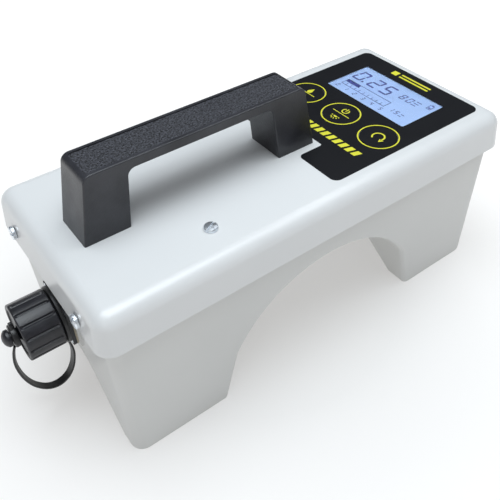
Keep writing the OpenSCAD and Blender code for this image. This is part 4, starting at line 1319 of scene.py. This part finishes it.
cap_profile = [
    (seal_x, 0), (seal_x, cap_bore_r - 0.4), (seal_x + 0.3, cap_bore_r),
    (cap_open_x - 0.3, cap_bore_r), (cap_open_x, cap_bore_r + 0.3), (cap_open_x, cap_r - 0.5),
    (cap_open_x - 0.15, cap_r - 0.15), (cap_open_x - 0.5, cap_r),
]
body_steps = 24
body_l = cap_l - 2 * cap_edge_r
cap_profile += [(cap_open_x - cap_edge_r - body_l * i / body_steps, cap_r) for i in range(body_steps + 1)]
for i in range(1, 6):
    a = math.pi / 2 * i / 5
    cap_profile.append((cap_front_x + cap_edge_r * (1 - math.sin(a)),
                        cap_r - 0.05 - cap_edge_r * (1 - math.cos(a))))
cap_profile += [
    (cap_front_x, cap_r - 2.0), (cap_front_x + 0.15, cap_r - 2.3), (cap_front_x + 0.8, cap_r - 2.6),
    (cap_front_x + 0.8, neck_r + 2.2), (cap_front_x + 0.6, neck_r + 1.2), (cap_front_x + 0.1, neck_r + 0.4),
    (cap_front_x - 0.4, neck_r), (button_x, neck_r), (button_x, button_r - 0.4),
    (button_x - 0.12, button_r - 0.12), (button_x - 0.4, button_r), (button_x - 1.9, button_r),
]
dome_r = 6.0
dome_x = cap_low.x + dome_r
dome_steps = 9
for i in range(1, dome_steps + 1):
    r = button_r * math.sqrt(1 - (i / dome_steps) ** 2)
    cap_profile.append((dome_x - math.sqrt(dome_r ** 2 - r ** 2), r))
cap_plastic = finish_material(
    "cap_plastic", (0.009, 0.009, 0.012), (0.015, 0.015, 0.020), 0.38, 0.08, patch=220.0,
    grain_scale=1300.0, grain_depth=0.06, cells=0.5,
)
screw_cap = turned("screw_cap", cap_profile, grooves * points_per_groove, grooved)
place_piece(screw_cap, "cap", "cap_plastic", cap_plastic, "cap_shell", sharp=50)

# ------------------------------------------------------------------ pole electrodes
# A bent stainless steel plate lines the notch in each foot. A low-headed stud holds it and carries
# the current inside, where a nut holds it.

steel = finish_material(
    "electrode_steel", (0.60, 0.60, 0.59), (0.50, 0.50, 0.50), 0.30, 0.10, patch=90.0,
    grain_scale=600.0, grain_depth=0.01, cells=0.1, Metallic=1.0,
)
dress(steel, "display_end_electrode", "inlet_end_electrode")
dress(zinc, "electrode_studs", "electrode_nuts", "cradle_nuts", "inlet_nuts", "battery_contacts")

# ------------------------------------------------------------------ inside the case
# The cells lie in a black holder on a metal cradle. The main board stands on the tub's pillars with
# its high voltage transformer, and the display board hangs under the lid. Red and black wires join
# them to the electrodes and the inlet.

# Each hidden finish has two colours, a roughness and its spread, a patch scale, the grain's scale,
# depth and share of cells, and the CAD nodes that it dresses.
hidden_finishes = {
    "black_plastic": ((0.022, 0.022, 0.023), (0.03, 0.03, 0.031), 0.5, 0.06, 80, 1200, 0.03, 0.3,
                      ("battery_holder", "key_switches", "board_components")),
    "cell_wrap": ((0.52, 0.30, 0.08), (0.46, 0.26, 0.07), 0.32, 0.06, 50, 800, 0.01, 0.1,
                  ("battery_cells",)),
    "circuit_board": ((0.015, 0.10, 0.045), (0.02, 0.15, 0.065), 0.38, 0.07, 260, 700, 0.03, 0.9,
                      ("main_board", "display_board")),
    "potting": ((0.012, 0.018, 0.055), (0.018, 0.024, 0.07), 0.28, 0.08, 70, 500, 0.02, 0.2,
                ("high_voltage_transformer",)),
    "ribbon_grey": ((0.42, 0.42, 0.43), (0.34, 0.34, 0.35), 0.5, 0.05, 400, 900, 0.03, 0.4,
                    ("ribbon_cable",)),
    "diffuser": ((0.80, 0.85, 0.92), (0.76, 0.82, 0.90), 0.45, 0.05, 30, 1500, 0.01, 0.2,
                 ("display_backlight",)),
    "red_wire": ((0.42, 0.02, 0.018), (0.34, 0.018, 0.016), 0.4, 0.05, 200, 1500, 0.01, 0.1,
                 ("display_end_lead", "inlet_end_lead", "battery_lead")),
    "black_wire": ((0.02, 0.02, 0.021), (0.028, 0.028, 0.03), 0.42, 0.05, 200, 1500, 0.01, 0.1,
                   ("inlet_lead",)),
}
for name, (*look, nodes) in hidden_finishes.items():
    dress(finish_material(name, *look), *nodes)
